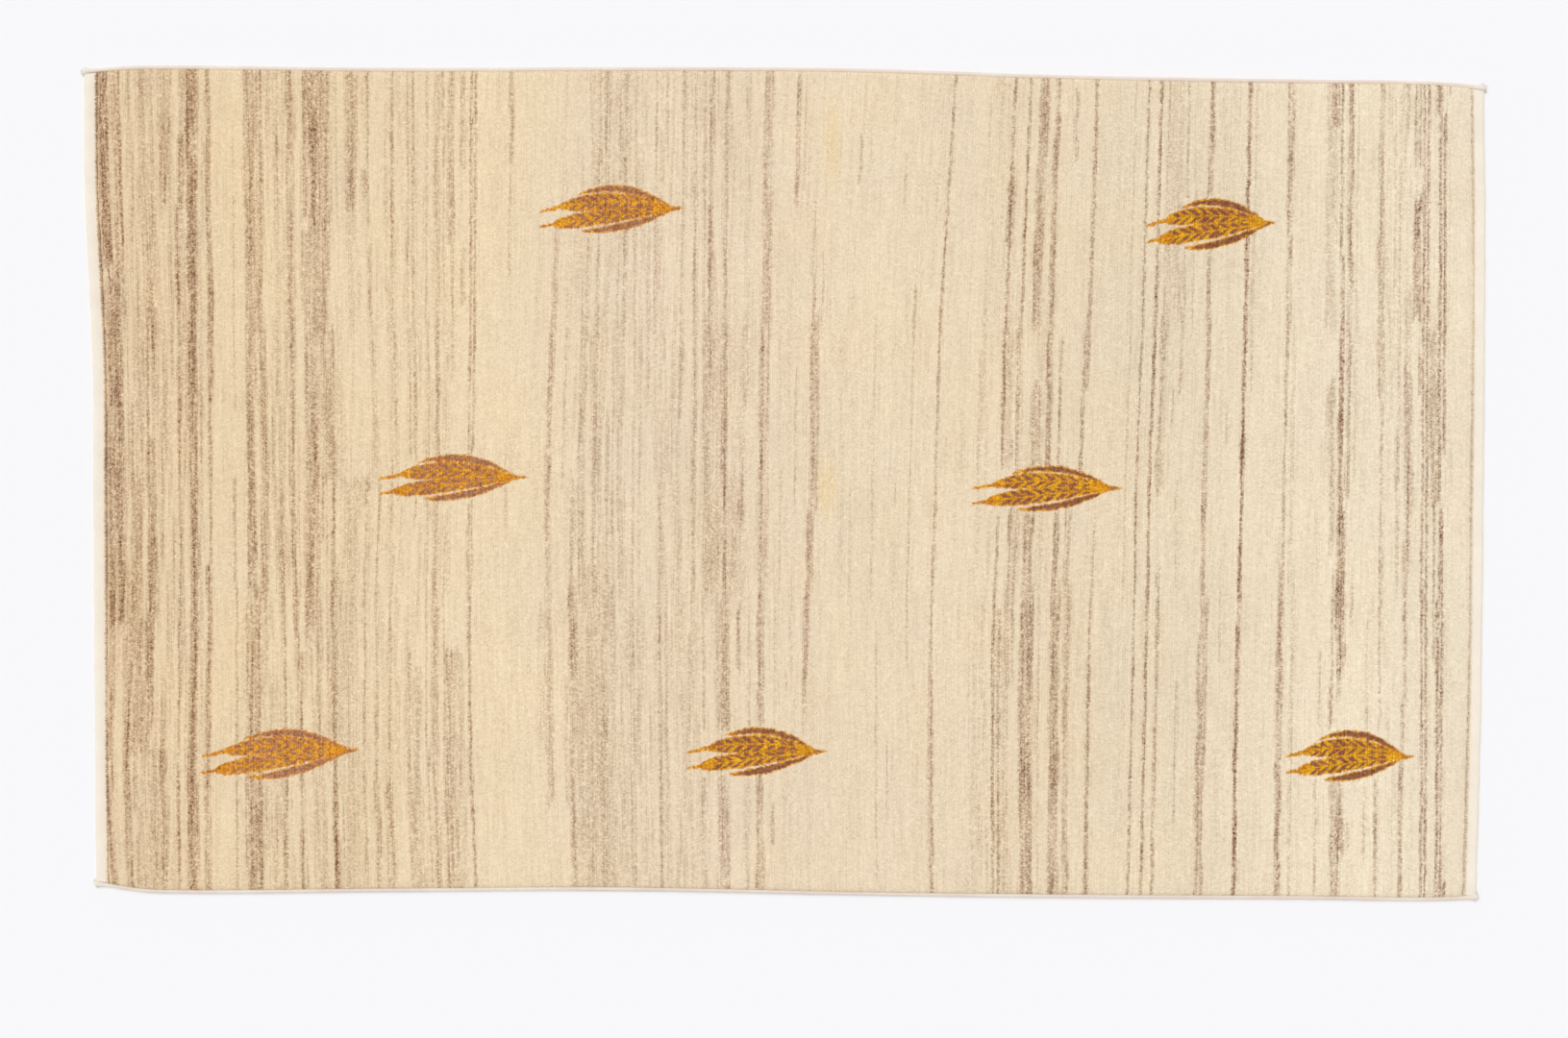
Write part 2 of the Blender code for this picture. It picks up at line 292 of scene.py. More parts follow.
STREAKS_MIDDLE = (
    (532, 4.5, 0.40, 0.6, 60, 174),
    (530, 2, 0.30, 0.6, 174, 297),
    (525.5, 1.8, 0.28, 0.6, 460, 567),
    (577, 4.5, 0.40, 0.4, 240, 330),
    (572.5, 5.5, 0.42, 0.4, 330, 470),
    (569.3, 7, 0.42, 0.4, 470, 620),
    (571.5, 8, 0.40, 0.4, 620, 836),
    (563, 5, 0.16, 0.3, 633, 817),
    (584, 2, 0.12, 0.4, 240, 340),
    (587.5, 1.8, 0.30, 0.4, 303, 511),
    (589, 2.4, 0.35, 0.4, 704, 838),
    (595, 6, 0.22, 0.3, 496, 700),
    (594.7, 5, 0.45, 0.4, 600, 940),
    (610.5, 2.4, 0.30, 0.4, 246, 340),
    (605, 7, 0.26, 0.3, 330, 620),
    (624.3, 2.2, 0.40, 0.5, 60, 240),
    (630.5, 3, 0.55, 0.5, 60, 240),
    (634, 1.8, 0.35, 0.5, 60, 240),
    (622, 2.4, 0.35, 0.4, 246, 340),
    (618, 4, 0.42, 0.35, 330, 620),
    (623, 2, 0.25, 0.3, 330, 620),
    (631, 2.4, 0.30, 0.3, 432, 620),
    (637, 2, 0.25, 0.3, 330, 620),
    (620, 42, 0.20, 0.2, 600, 940),
    (644.5, 2.4, 0.32, 0.4, 60, 340),
    (650.7, 2.6, 0.32, 0.4, 60, 340),
    (645, 4, 0.25, 0.3, 340, 620),
    (646.5, 2, 0.28, 0.3, 620, 755),
    (661, 1.8, 0.25, 0.3, 60, 340),
    (658.5, 2, 0.28, 0.3, 340, 620),
    (656.5, 1.8, 0.35, 0.3, 620, 940),
    (660, 1.8, 0.35, 0.3, 620, 940),
    (665, 2, 0.20, 0.3, 340, 620),
    (682, 2, 0.25, 0.3, 60, 340),
    (691, 2.2, 0.30, 0.4, 341, 376),
    (688.5, 4.5, 0.28, 0.3, 500, 620),
    (687.3, 3.6, 0.42, 0.4, 620, 940),
    (695, 2, 0.30, 0.3, 60, 167),
    (694, 2, 0.30, 0.3, 620, 940),
    (709.5, 2.4, 0.32, 0.4, 60, 432),
    (723, 3, 0.35, 0.4, 60, 340),
    (721.3, 3.4, 0.45, 0.4, 340, 620),
    (717.5, 3, 0.35, 0.4, 665, 757),
    (733, 2, 0.28, 0.4, 60, 340),
    (736, 11, 0.32, 0.4, 340, 620),
    (731.5, 3, 0.35, 0.4, 620, 757),
    (732.5, 4.5, 0.30, 0.4, 808, 940),
    (740, 5.5, 0.55, 0.5, 60, 340),
    (755.5, 4, 0.50, 0.5, 60, 340),
    (750, 11, 0.28, 0.4, 340, 620),
    (753.8, 3.5, 0.40, 0.5, 340, 620),
    (752.5, 16, 0.30, 0.4, 620, 757),
    (756, 5.5, 0.35, 0.5, 620, 757),
    (753.5, 11, 0.40, 0.4, 808, 940),
    (764, 22, 0.20, 0.4, 497, 620),
    (768, 4, 0.50, 0.5, 632, 698),
    (774, 7, 0.35, 0.5, 340, 419),
    (771.3, 6, 0.30, 0.5, 419, 543),
    (771.3, 5, 0.25, 0.6, 497, 543),
    (778, 4.5, 0.15, 0.4, 60, 340),
    (779, 2, 0.30, 0.4, 620, 757),
    (776.5, 5, 0.30, 0.4, 808, 940),
    (799, 10, 0.35, 0.5, 60, 340),
    (794.5, 12, 0.28, 0.7, 340, 620),
    (792, 2.6, 0.50, 1.0, 340, 620),
    (791.5, 8, 0.50, 0.6, 620, 757),
    (790, 9, 0.50, 0.6, 808, 940),
    (811, 2, 0.25, 0.5, 493, 620),
    (806, 2, 0.20, 0.4, 620, 757),
    (804, 3, 0.50, 0.5, 838, 877),
    (830, 4, 0.50, 0.5, 74, 215),
    (830, 4.5, 0.25, 0.6, 140, 212),
    (827, 1.8, 0.30, 0.5, 385, 524),
    (827, 2, 0.35, 0.6, 482, 506),
    (822, 1.8, 0.25, 0.5, 600, 708),
    (818.5, 2, 0.40, 0.5, 704, 719),
    (838, 2, 0.30, 0.5, 78, 196),
    (847, 2.4, 0.35, 0.5, 208, 281),
    (847, 3, 0.50, 0.6, 281, 340),
    (847, 10.5, 0.40, 0.6, 340, 528),
    (842.5, 8.5, 0.50, 0.6, 528, 620),
    (838.5, 7, 0.55, 0.9, 620, 700),
    (836.5, 5, 0.55, 0.9, 700, 762),
    (856, 2.4, 0.30, 0.5, 265, 340),
    (895.5, 2.8, 0.60, 0.6, 144, 187),
    (900.5, 2, 0.15, 0.5, 60, 144),
    (887, 2, 0.15, 0.5, 292, 340),
    (876, 5, 0.10, 0.4, 340, 620),
    (884, 2, 0.20, 0.4, 505, 628),
    (908, 1.8, 0.25, 0.4, 340, 620),
    (911, 1.8, 0.30, 0.5, 648, 915),
    (922.5, 2, 0.30, 0.5, 774, 849),
    (931, 2, 0.35, 0.5, 507, 524),
    (942, 2, 0.30, 0.5, 164, 210),
    (946.5, 2, 0.40, 0.5, 296, 703),
    (976, 1.6, 0.18, 0.4, 78, 297),
    (973.2, 2.3, 0.65, 0.5, 60, 940),
    (967, 3.5, 0.30, 0.5, 687, 940),
    (1018, 2, 0.15, 0.4, 382, 496),
    (1026.5, 3, 0.25, 0.4, 854, 940),
    (1030, 2, 0.15, 0.4, 96, 150),
)
STREAKS_RIGHT = (
    (1052, 3, 0.50, 0.5, 60, 340),
    (1051.5, 8, 0.25, 0.5, 185, 256),
    (1043.5, 3, 0.50, 0.5, 340, 485),
    (1048, 11, 0.20, 0.4, 340, 485),
    (1036, 2.7, 0.50, 0.5, 532, 640),
    (1032, 3, 0.50, 0.5, 640, 940),
    (1038, 3, 0.45, 0.5, 640, 940),
    (1050.5, 10, 0.30, 0.5, 532, 708),
    (1044.5, 5, 0.22, 0.4, 708, 940),
    (1068, 2.4, 0.55, 0.5, 60, 340),
    (1058.3, 2.6, 0.50, 0.5, 340, 487),
    (1068.5, 11, 0.35, 0.5, 532, 620),
    (1066.5, 13, 0.42, 0.5, 620, 940),
    (1083, 9, 0.35, 0.5, 60, 340),
    (1077.5, 9, 0.25, 0.5, 395, 487),
    (1079, 2, 0.15, 0.4, 620, 940),
    (1098, 5, 0.42, 0.5, 60, 340),
    (1091.5, 5, 0.45, 0.5, 340, 487),
    (1097.5, 5, 0.45, 0.5, 532, 620),
    (1095.5, 10, 0.45, 0.5, 620, 940),
    (1102.5, 3, 0.40, 0.5, 358, 483),
    (1110, 6, 0.30, 0.5, 532, 620),
    (1108, 7, 0.30, 0.5, 620, 940),
    (1119.5, 4.5, 0.22, 0.4, 96, 167),
    (1138, 4, 0.42, 0.5, 60, 340),
    (1130, 6, 0.38, 0.5, 340, 400),
    (1125.5, 4, 0.38, 0.5, 400, 487),
    (1137, 2, 0.30, 0.5, 540, 620),
    (1131, 2.4, 0.40, 0.5, 620, 940),
    (1130, 5, 0.20, 0.5, 690, 940),
    (1179, 2, 0.15, 0.4, 60, 340),
    (1171.5, 1.8, 0.28, 0.4, 340, 620),
    (1182, 2.1, 0.60, 0.45, 60, 940),
    (1195.5, 3, 0.62, 0.5, 60, 940),
    (1214, 1.8, 0.20, 0.4, 60, 340),
    (1223.5, 16, 0.10, 0.2, 60, 340),
    (1208.5, 7, 0.32, 0.2, 330, 515),
    (1201, 3.8, 0.35, 0.4, 600, 940),
    (1219.5, 1.8, 0.25, 0.4, 400, 460),
    (1223, 1.8, 0.25, 0.4, 506, 604),
    (1222, 1.8, 0.22, 0.5, 704, 860),
    (1236.5, 3, 0.25, 0.9, 60, 207),
    (1230.5, 3, 0.25, 0.9, 260, 409),
    (1242, 1.8, 0.20, 0.5, 156, 340),
    (1261.5, 5, 0.45, 0.6, 60, 207),
    (1257, 4, 0.45, 0.6, 262, 340),
    (1253.5, 4.2, 0.45, 0.6, 340, 620),
    (1248, 7.5, 0.42, 0.6, 620, 940),
    (1254.5, 1.8, 0.30, 0.5, 620, 795),
    (1274, 1.8, 0.15, 0.4, 83, 203),
    (1276, 1.8, 0.22, 0.5, 426, 467),
    (1269, 1.8, 0.25, 0.5, 611, 687),
    (1291.5, 3.6, 0.78, 0.85, 60, 940),
    (1293, 7, 0.60, 0.9, 452, 482),
    (1306, 4, 0.15, 0.5, 60, 340),
    (1301.8, 2.4, 0.20, 0.5, 339, 408),
    (1343, 7, 0.36, 0.5, 60, 250),
    (1340.5, 5.5, 0.34, 0.5, 250, 340),
    (1336.5, 2.4, 0.45, 0.5, 330, 600),
    (1329.5, 4.6, 0.52, 0.55, 600, 940),
    (1343.5, 4, 0.12, 0.4, 330, 620),
    (1342.5, 3.5, 0.15, 0.3, 600, 940),
    (1372.5, 2.2, 0.22, 0.4, 676, 757),
    (1367.5, 2, 0.25, 0.4, 812, 940),
    (1390, 6.5, 0.42, 0.6, 60, 131),
    (1385, 12, 0.13, 0.4, 60, 340),
    (1384, 6.5, 0.30, 0.4, 395, 450),
    (1385, 4.5, 0.22, 0.5, 450, 578),
    (1385, 2.4, 0.42, 0.5, 600, 758),
    (1385, 5, 0.25, 0.9, 718, 758),
    (1390, 12, 0.45, 0.5, 812, 892),
    (1388.5, 9, 0.30, 0.5, 892, 940),
    (1396.2, 2.4, 0.50, 0.5, 60, 272),
    (1396.3, 3.8, 0.60, 1.0, 272, 408),
    (1394, 4.5, 0.60, 0.8, 408, 528),
    (1394.5, 8.5, 0.58, 0.65, 528, 698),
    (1392, 3.5, 0.40, 0.6, 698, 725),
    (1405.3, 5, 0.48, 0.55, 60, 330),
    (1403.2, 4.5, 0.42, 0.9, 330, 400),
    (1402.5, 4.5, 0.38, 0.4, 400, 515),
    (1406, 2.4, 0.35, 0.5, 600, 649),
    (1401.5, 2, 0.30, 0.4, 858, 880),
    (1411.5, 2, 0.18, 0.3, 60, 505),
    (1421.5, 1.8, 0.25, 0.4, 647, 760),
    (1418.5, 1.8, 0.22, 0.4, 812, 900),
    (1437, 5.5, 0.36, 0.8, 60, 410),
    (1436.5, 3, 0.28, 0.6, 410, 620),
    (1435, 2.2, 0.40, 0.6, 620, 760),
    (1430, 3, 0.42, 0.7, 812, 940),
    (1451, 1.8, 0.20, 0.4, 95, 340),
    (1455.3, 1.8, 0.22, 0.5, 95, 620),
    (1452.5, 3.6, 0.30, 0.8, 450, 509),
    (1465.2, 3.4, 0.38, 0.6, 60, 145),
    (1464.5, 7, 0.15, 0.5, 300, 384),
    (1464.5, 7.5, 0.38, 0.6, 384, 592),
    (1461.5, 3, 0.38, 0.5, 592, 728),
    (1458, 3.5, 0.42, 0.8, 728, 800),
    (1456, 3.4, 0.42, 0.6, 800, 940),
    (1473, 2.2, 0.50, 0.7, 60, 167),
    (1477.8, 2.2, 0.50, 0.7, 60, 167),
    (1479.5, 2.4, 0.58, 0.7, 60, 940),
    (1484, 2.4, 0.58, 0.7, 60, 940),
    (1474.2, 8, 0.42, 0.9, 203, 335),
    (1475, 4, 0.25, 1.0, 217, 247),
    (1477, 3, 0.50, 0.7, 370, 411),
    (1490.8, 6, 0.35, 0.6, 340, 526),
    (1491, 2.4, 0.32, 0.6, 526, 680),
    (1497, 5.5, 0.65, 0.7, 60, 122),
    (1497.6, 2.8, 0.62, 0.7, 122, 528),
    (1502.5, 2.8, 0.62, 0.7, 122, 467),
    (1498.5, 4.2, 0.72, 0.9, 528, 622),
    (1494.5, 2.8, 0.62, 0.7, 622, 940),
    (1498.8, 2.6, 0.52, 0.7, 622, 940),
    (1509.8, 3, 0.50, 0.7, 86, 97),
    (1501.5, 3.5, 0.65, 0.9, 922, 936),
)
LEFT_STRENGTH, MIDDLE_STRENGTH, RIGHT_STRENGTH = 0.76, 0.62, 0.94
STREAKS = [
    Streak(at, width, depth * strength, red, top, bottom)
    for table, strength in (
        (STREAKS_LEFT, LEFT_STRENGTH),
        (STREAKS_MIDDLE, MIDDLE_STRENGTH),
        (STREAKS_RIGHT, RIGHT_STRENGTH),
    )
    for at, width, depth, red, top, bottom in table
]
# Down the picture the charts were drawn in three lengths. A streak that stops on one of these lines runs
# on in the next length, perhaps as another row, and the two fade into each other.
CHART_SEAMS_PX = (330, 340, 600, 620)
SEAM_FADE_PX = 44

# Soft stains: how much each darkens the red, green and blue that the wool gives back.
Stain = namedtuple("Stain", "x_px y_px half_width_px half_height_px red green blue")
STAINS = (
    Stain(860, 510, 12, 34, 0.00, 0.03, 0.16),
    Stain(866, 150, 9, 48, 0.01, 0.04, 0.16),
    Stain(215, 453, 90, 4, -0.03, -0.04, -0.06),
    Stain(120, 640, 40, 60, 0.03, 0.05, 0.08),
    Stain(560, 860, 60, 70, -0.01, -0.01, -0.02),
)

# The sprigs. Each runs from its awn tips at the left to its stem tip at the right.
Sprig = namedtuple("Sprig", "left_px awn_y_px tip_px tip_y_px top_px bottom_px mauve")
SPRIGS = (
    Sprig(562, 220, 712, 217, 193, 243, 0.7),
    Sprig(1193, 234, 1328, 232, 207, 261, 0.1),
    Sprig(395, 498, 549, 497, 473, 522, 0.8),
    Sprig(1012, 508, 1168, 508, 485, 533, 0.2),
    Sprig(210, 787, 375, 780, 759, 811, 0.9),
    Sprig(715, 783, 860, 782, 757, 808, 0.2),
    Sprig(1338, 787, 1471, 787, 760, 814, 0.1),
)
# The limbs of a sprig, in shares of its length: along from the awn tip, and up from the stem's line.
# A limb's middle bends away from the straight line between its ends, and its body starts at body_at.
Limb = namedtuple("Limb", "kind tip_at tip_up root_at root_up bend body_at half_width skew")
LIMBS = (
    Limb("blade", 0.255, 0.120, 0.93, 0.000, 0.090, 0.255, 0.030, 0.95),
    Limb("blade", 0.290, -0.180, 0.93, 0.000, -0.046, 0.290, 0.034, 0.90),
    Limb("ear", 0.000, -0.004, 0.92, 0.003, 0.062, 0.130, 0.069, 0.75),
    Limb("ear", 0.000, -0.130, 0.92, -0.006, 0.010, 0.080, 0.067, 0.64),
    Limb("stem", 0.800, 0.000, 1.00, 0.000, 0.000, 0.800, 0.030, 0.50),
)
SPRIG_REACH_UP, SPRIG_REACH_DOWN = 0.184, 0.206  # of a sprig whose limbs have the sizes above
GOLD, ORANGE_GOLD, AMBER = (230, 166, 18), (232, 158, 40), (212, 126, 24)
CELL_BROWN, CELL_MAUVE = (136, 82, 58), (178, 124, 94)
CHEVRON_PITCH = 0.074
CHEVRON_SLANT = 1.35
OUTLINE_WIDTH = 0.010

SHADE_FADE_PX = 8
WIDE_STREAK_PX = 4.2  # a streak wider than this is several rows of knots
WIDE_SOFTNESS_PX, THIN_SOFTNESS_PX = 3.2, 1.3  # how gradually a streak's sides fade
END_FADE_PX = 6
END_RAGGED_PX = 8
STREAK_MARGIN_PX = 6  # a streak is looked for this far beside its nominal width
END_MARGIN_PX = 26  # and this far past its nominal ends
KNOT_PX = 2.46  # from one row of knots to the next
GREY_WOOL = np.array((0.87, 1.08, 1.26))  # how strongly a unit of brown wool darkens red, green, blue
RED_WOOL = np.array((0.78, 1.07, 1.22))
PILE_SHADING = 1.05  # the charts' colours are made lighter by what the uneven pile shades away

# How finely the pile is made.
RIM_INSETS_MM = (17.4, 18.0, 18.8, 19.8, 21.0, 22.6, 24.6, 27.0)  # pile columns at each end
SIDE_INSETS_MM = (0.0, 0.8, 1.8, 3.0, 5.0, 7.0, 9.0)  # pile rows at each side
COLUMNS = 924
FINE_ROW = 1.5 * MM
COARSE_ROW = 4.1 * MM
SPRIG_MARGIN_PX = 4
PILE_FOOT = 3.6 * MM  # inside the woven cloth


def srgb_to_linear(levels):
    shares = np.asarray(levels, dtype=float) / 255
    return np.where(shares <= 0.04045, shares / 12.92, ((shares + 0.055) / 1.055) ** 2.4)


def smooth_step(t):
    t = np.clip(t, 0, 1)
    return t * t * (3 - 2 * t)


def noise(u, v, seed):
    """Smooth noise from -1 to 1 whose bumps are one unit across."""
    size = 256
    table = np.random.default_rng(seed).random((size, size)) * 2 - 1
    u, v = np.broadcast_arrays(np.asarray(u, dtype=float), np.asarray(v, dtype=float))
    iu, iv = np.floor(u).astype(int), np.floor(v).astype(int)
    fu, fv = smooth_step(u - iu), smooth_step(v - iv)
    low = table[iu % size, iv % size] * (1 - fu) + table[(iu + 1) % size, iv % size] * fu
    high = table[iu % size, (iv + 1) % size] * (1 - fu) + table[(iu + 1) % size, (iv + 1) % size] * fu
    return low * (1 - fv) + high * fv


def wander(table, column, at):
    """A smooth curve through one column of an edge table, in metres, flat past the table's ends."""
    places = [row.at_m for row in table]
    values = [getattr(row, column) * MM for row in table]
    at = min(max(at, places[0]), places[-1])
    last = len(table) - 2
    i = next((k for k in range(last) if at < places[k + 1]), last)
    span = places[i + 1] - places[i]

    def slope(k):
        before, after = max(k - 1, 0), min(k + 1, len(table) - 1)
        return (values[after] - values[before]) / (places[after] - places[before])

    t = (at - places[i]) / span
    return (
        (2 * t**3 - 3 * t**2 + 1) * values[i]
        + (t**3 - 2 * t**2 + t) * span * slope(i)
        + (3 * t**2 - 2 * t**3) * values[i + 1]
        + (t**3 - t**2) * span * slope(i + 1)
    )


def wander_all(table, column, places):
    return np.array([wander(table, column, at) for at in places])


def place_grid(along, across):
    """Real places of a grid of nominal ones: arrays x and y, with a row for each along."""
    right_share = 0.5 * (1 + along / HALF_LENGTH)[:, None]
    far_share = 0.5 * (1 + across / HALF_WIDTH)[None, :]
    right = wander_all(END_EDGES, "right_mm", across)[None, :]
    left = wander_all(END_EDGES, "left_mm", across)[None, :]
    far = wander_all(LONG_EDGES, "far_mm", along)[:, None]
    near = wander_all(LONG_EDGES, "near_mm", along)[:, None]
    x = along[:, None] + right * right_share - left * (1 - right_share)
    y = across[None, :] + far * far_share - near * (1 - far_share)
    return x, y


def place(along, across):
    """The real place of one nominal point."""
    x, y = place_grid(np.array([along]), np.array([across]))
    return float(x[0, 0]), float(y[0, 0])


def pile_wave(along, across):
    total = 0.0
    for wave in PILE_WAVES:
        turns = along / wave.along_m
        if wave.across_m:
            turns = turns + across / wave.across_m
        total = total + wave.height_mm * MM * np.sin(2 * math.pi * turns + wave.start_rad)
    return total


def photo_place(x, y):
    """The picture's pixel over a real place."""
    right = (x - MIDDLE_X) / PIXEL
    down = -(y - MIDDLE_Y) / PIXEL
    shrink = 1 + PHOTO_TURN**2
    px = PHOTO_MIDDLE_X + (right - PHOTO_TURN * down) / shrink
    py = PHOTO_MIDDLE_Y + (down + PHOTO_TURN * right) / shrink
    return px, py


def real_place(px, py):
    """The real place under a pixel."""
    right, down = px - PHOTO_MIDDLE_X, py - PHOTO_MIDDLE_Y
    return (
        MIDDLE_X + PIXEL * (right + PHOTO_TURN * down),
        MIDDLE_Y - PIXEL * (down - PHOTO_TURN * right),
    )


def lean_of(row_px, py):
    """How far right of its start the row of knots that starts at row_px has got at height py."""
    row_px, py = np.broadcast_arrays(np.asarray(row_px, dtype=float), np.asarray(py, dtype=float))
    starts, *charts = zip(*LEAN)
    columns = [np.interp(row_px, starts, chart) for chart in charts]
    total = np.zeros(row_px.shape)
    for k, (top, bottom) in enumerate(zip(LEAN_HEIGHTS, LEAN_HEIGHTS[1:])):
        share = np.clip((py - top) / (bottom - top), 0, 1)
        total += (columns[k + 1] - columns[k]) * share
    return total


def row_of(px, py):
    """Where the row of knots through a pixel starts, at the far edge."""
    row_px = np.asarray(px, dtype=float)
    for _ in range(5):
        row_px = px - lean_of(row_px, py)
    return row_px


def brown_wool(row_px, py):
    """How much grey and how much red-brown wool lies at each place."""
    grey = np.zeros(row_px.shape)
    red = np.zeros(row_px.shape)

    def add(where, depth, redness):
        grey[where] += depth * (1 - redness)
        red[where] += depth * redness

    row_number = row_px / KNOT_PX
    rows = noise(row_number, py / 95, 11)
    fine_rows = noise(row_number * 1.9, py / 40, 12)
    for shade in SHADES:
        inside = smooth_step((row_px - shade.from_px) / SHADE_FADE_PX + 0.5)
        inside = inside * smooth_step((shade.to_px - row_px) / SHADE_FADE_PX + 0.5)
        depth = inside * shade.depth * np.clip(0.55 + 1.4 * rows + 0.8 * fine_rows, 0, 2.6)
        add(slice(None), depth, shade.red)

    edge_wobble = 0.6 * noise(row_number * 0.8, py / 5, 13)
    edge_sway = 1.3 * noise(row_number * 0.3, py / 26, 18)
    thickness = noise(row_number * 0.5, py / 22, 14)
    for k, streak in enumerate(STREAKS):
        middle = 0.5 * (streak.from_px + streak.to_px)
        start = float(row_of(np.array([streak.at_px]), np.array([middle]))[0])
        near = np.abs(row_px - start) < 0.5 * streak.width_px + STREAK_MARGIN_PX
        near &= (py > streak.from_px - END_MARGIN_PX) & (py < streak.to_px + END_MARGIN_PX)
        if not near.any():
            continue
        rows_here, heights_here = row_px[near], py[near]
        if streak.width_px > WIDE_STREAK_PX:  # its rows aren't all the same brown
            row_by_row = noise(rows_here / 2.1 + 5.3 * k, heights_here / 62 + 7 * k, 16)
            patches = noise(rows_here / 6 + 3.7 * k, heights_here / 20, 17)
            uneven = np.clip(1 + 0.75 * row_by_row + 0.14 * patches, 0.12, 2.2)
            softness, sway = WIDE_SOFTNESS_PX, edge_sway[near]
        else:
            knot_by_knot = noise(k, heights_here / 14, 17)
            slowly = noise(k, heights_here / 60, 19)
            uneven = np.clip(1 + 0.30 * knot_by_knot + 0.18 * slowly, 0.3, 2)
            softness, sway = THIN_SOFTNESS_PX, 0.0
        from_middle = np.abs(rows_here - start + edge_wobble[near] + sway)
        half = 0.5 * streak.width_px * (1 + 0.16 * thickness[near])
        across = smooth_step((half - from_middle) / softness + 0.5)
        ragged = END_RAGGED_PX * noise(rows_here / 1.6, k, 15)
        ends = 1.0
        for end_px, inward in ((streak.from_px, 1), (streak.to_px, -1)):
            fade = SEAM_FADE_PX if end_px in CHART_SEAMS_PX else END_FADE_PX
            ends = ends * smooth_step((inward * (heights_here - end_px) + ragged) / fade + 0.5)
        add(near, streak.depth * across * ends * uneven, streak.red)
    return grey, red


def ground_wool(row_px, px, py):
    """The undyed wool's linear colour."""
    starts, *channels = zip(*GROUND)
    levels = [np.interp(px, starts, channel) for channel in channels]
    colour = PILE_SHADING * srgb_to_linear(np.stack(levels, axis=-1))
    cloud = 0.020 * noise(px / 70, py / 90, 21) + 0.012 * noise(row_px / 9, py / 160, 22)
    cloud += 0.010 * noise(px / 14, py / 11, 23)
    warm = 0.016 * noise(px / 40, py / 60, 24)
    colour = colour * (1 + cloud[..., None])
    colour = colour * (1 + warm[..., None] * np.array((0.2, -0.1, -1.2)))
    for stain in STAINS:
        aside = (px - stain.x_px) / stain.half_width_px
        share = smooth_step(1.3 - np.hypot(aside, (py - stain.y_px) / stain.half_height_px))
        colour = colour * (1 - share[..., None] * np.array((stain.red, stain.green, stain.blue)))
    return colour


def limb_shape(limb, along, up):
    """How far inside a limb each place is and how far from its middle line, in shares of the length."""
    share = np.clip((along - limb.tip_at) / (limb.root_at - limb.tip_at), 0, 1)
    middle = limb.tip_up + (limb.root_up - limb.tip_up) * share + limb.bend * 4 * share * (1 - share)
    body = np.clip((along - limb.body_at) / (limb.root_at - limb.body_at), 0, 1)
    half = limb.half_width * np.sin(math.pi * body**limb.skew) ** 0.7
    if limb.kind == "ear":
        half = np.maximum(half, (0.010 + 0.005 * np.clip(share / 0.1, 0, 1)) * (along < 0.3))
    off = up - middle
    inside = np.minimum(half - np.abs(off), np.minimum(along - limb.tip_at, limb.root_at - along))
    return inside, off


def paint_sprigs(colour, px, py):
    """Covers the wool's colour with the seven sprigs. Returns how much of each place they cover."""
    covered = np.zeros(px.shape)
    knot_noise = noise(px / 1.9, py / 1.9, 31)
    slow_noise = noise(px / 6, py / 5, 32)
    for sprig in SPRIGS:
        length = sprig.tip_px - sprig.left_px
        near = (px > sprig.left_px - SPRIG_MARGIN_PX) & (px < sprig.tip_px + SPRIG_MARGIN_PX)
        near &= (py > sprig.top_px - SPRIG_MARGIN_PX) & (py < sprig.bottom_px + SPRIG_MARGIN_PX)
        x, y = px[near], py[near]
        along = (x - sprig.left_px) / length
        axis = sprig.awn_y_px + (sprig.tip_y_px - sprig.awn_y_px) * along
        middle_y = 0.5 * (sprig.awn_y_px + sprig.tip_y_px)
        up_scale = (middle_y - sprig.top_px) / (SPRIG_REACH_UP * length)
        down_scale = (sprig.bottom_px - middle_y) / (SPRIG_REACH_DOWN * length)
        up = (axis - y) / length
        up = np.where(up > 0, up / up_scale, up / down_scale)
        up = up + 0.004 * slow_noise[near]

        mauve = sprig.mauve
        gold = srgb_to_linear(GOLD) * (1 - mauve) + srgb_to_linear(ORANGE_GOLD) * mauve
        brown = srgb_to_linear(CELL_BROWN) * (1 - mauve) + srgb_to_linear(CELL_MAUVE) * mauve
        amber = srgb_to_linear(AMBER)
        cover = np.zeros(x.shape)
        brownness = np.zeros(x.shape)
        for limb in LIMBS:
            inside, off = limb_shape(limb, along, up)
            inside = inside + 0.006 * knot_noise[near]
            soft = np.clip(inside * length / 1.1 + 0.5, 0, 1)
            if limb.kind == "ear":
                phase = (along + CHEVRON_SLANT * np.abs(off)) / CHEVRON_PITCH % 1.0
                cell = smooth_step((0.35 + 0.14 * slow_noise[near] - np.abs(phase - 0.5)) / 0.14)
                cell = cell * smooth_step((np.abs(off) - 0.003) / 0.007)
                cell = cell * smooth_step((along - 0.16) / 0.05) * smooth_step((0.86 - along) / 0.10)
            elif limb.kind == "blade":
                cell = smooth_step((along - limb.tip_at - 0.05) / 0.04)
                cell = cell * smooth_step((0.88 - along) / 0.05)
            else:
                cell = 0.75 * smooth_step((along - 0.90) / 0.03) * smooth_step((0.985 - along) / 0.02)
            cell = cell * smooth_step((inside - OUTLINE_WIDTH) / 0.008 + 0.5)
            brownness = np.where(soft > 0, brownness * (1 - soft) + cell * soft, brownness)
            cover = np.maximum(cover, soft)
        brownness = np.clip(brownness + 0.40 * knot_noise[near] * (0.6 + 0.5 * mauve), 0, 1)
        amber_share = np.clip(0.30 + 0.5 * slow_noise[near] + 0.35 * knot_noise[near], 0, 1)[:, None]
        yarn = gold * (1 - amber_share) + amber * amber_share
        yarn = yarn * (1 - brownness[:, None]) + brown * brownness[:, None]
        colour[near] = colour[near] * (1 - cover[:, None]) + yarn * cover[:, None]
        covered[near] = np.maximum(covered[near], cover)
    return covered


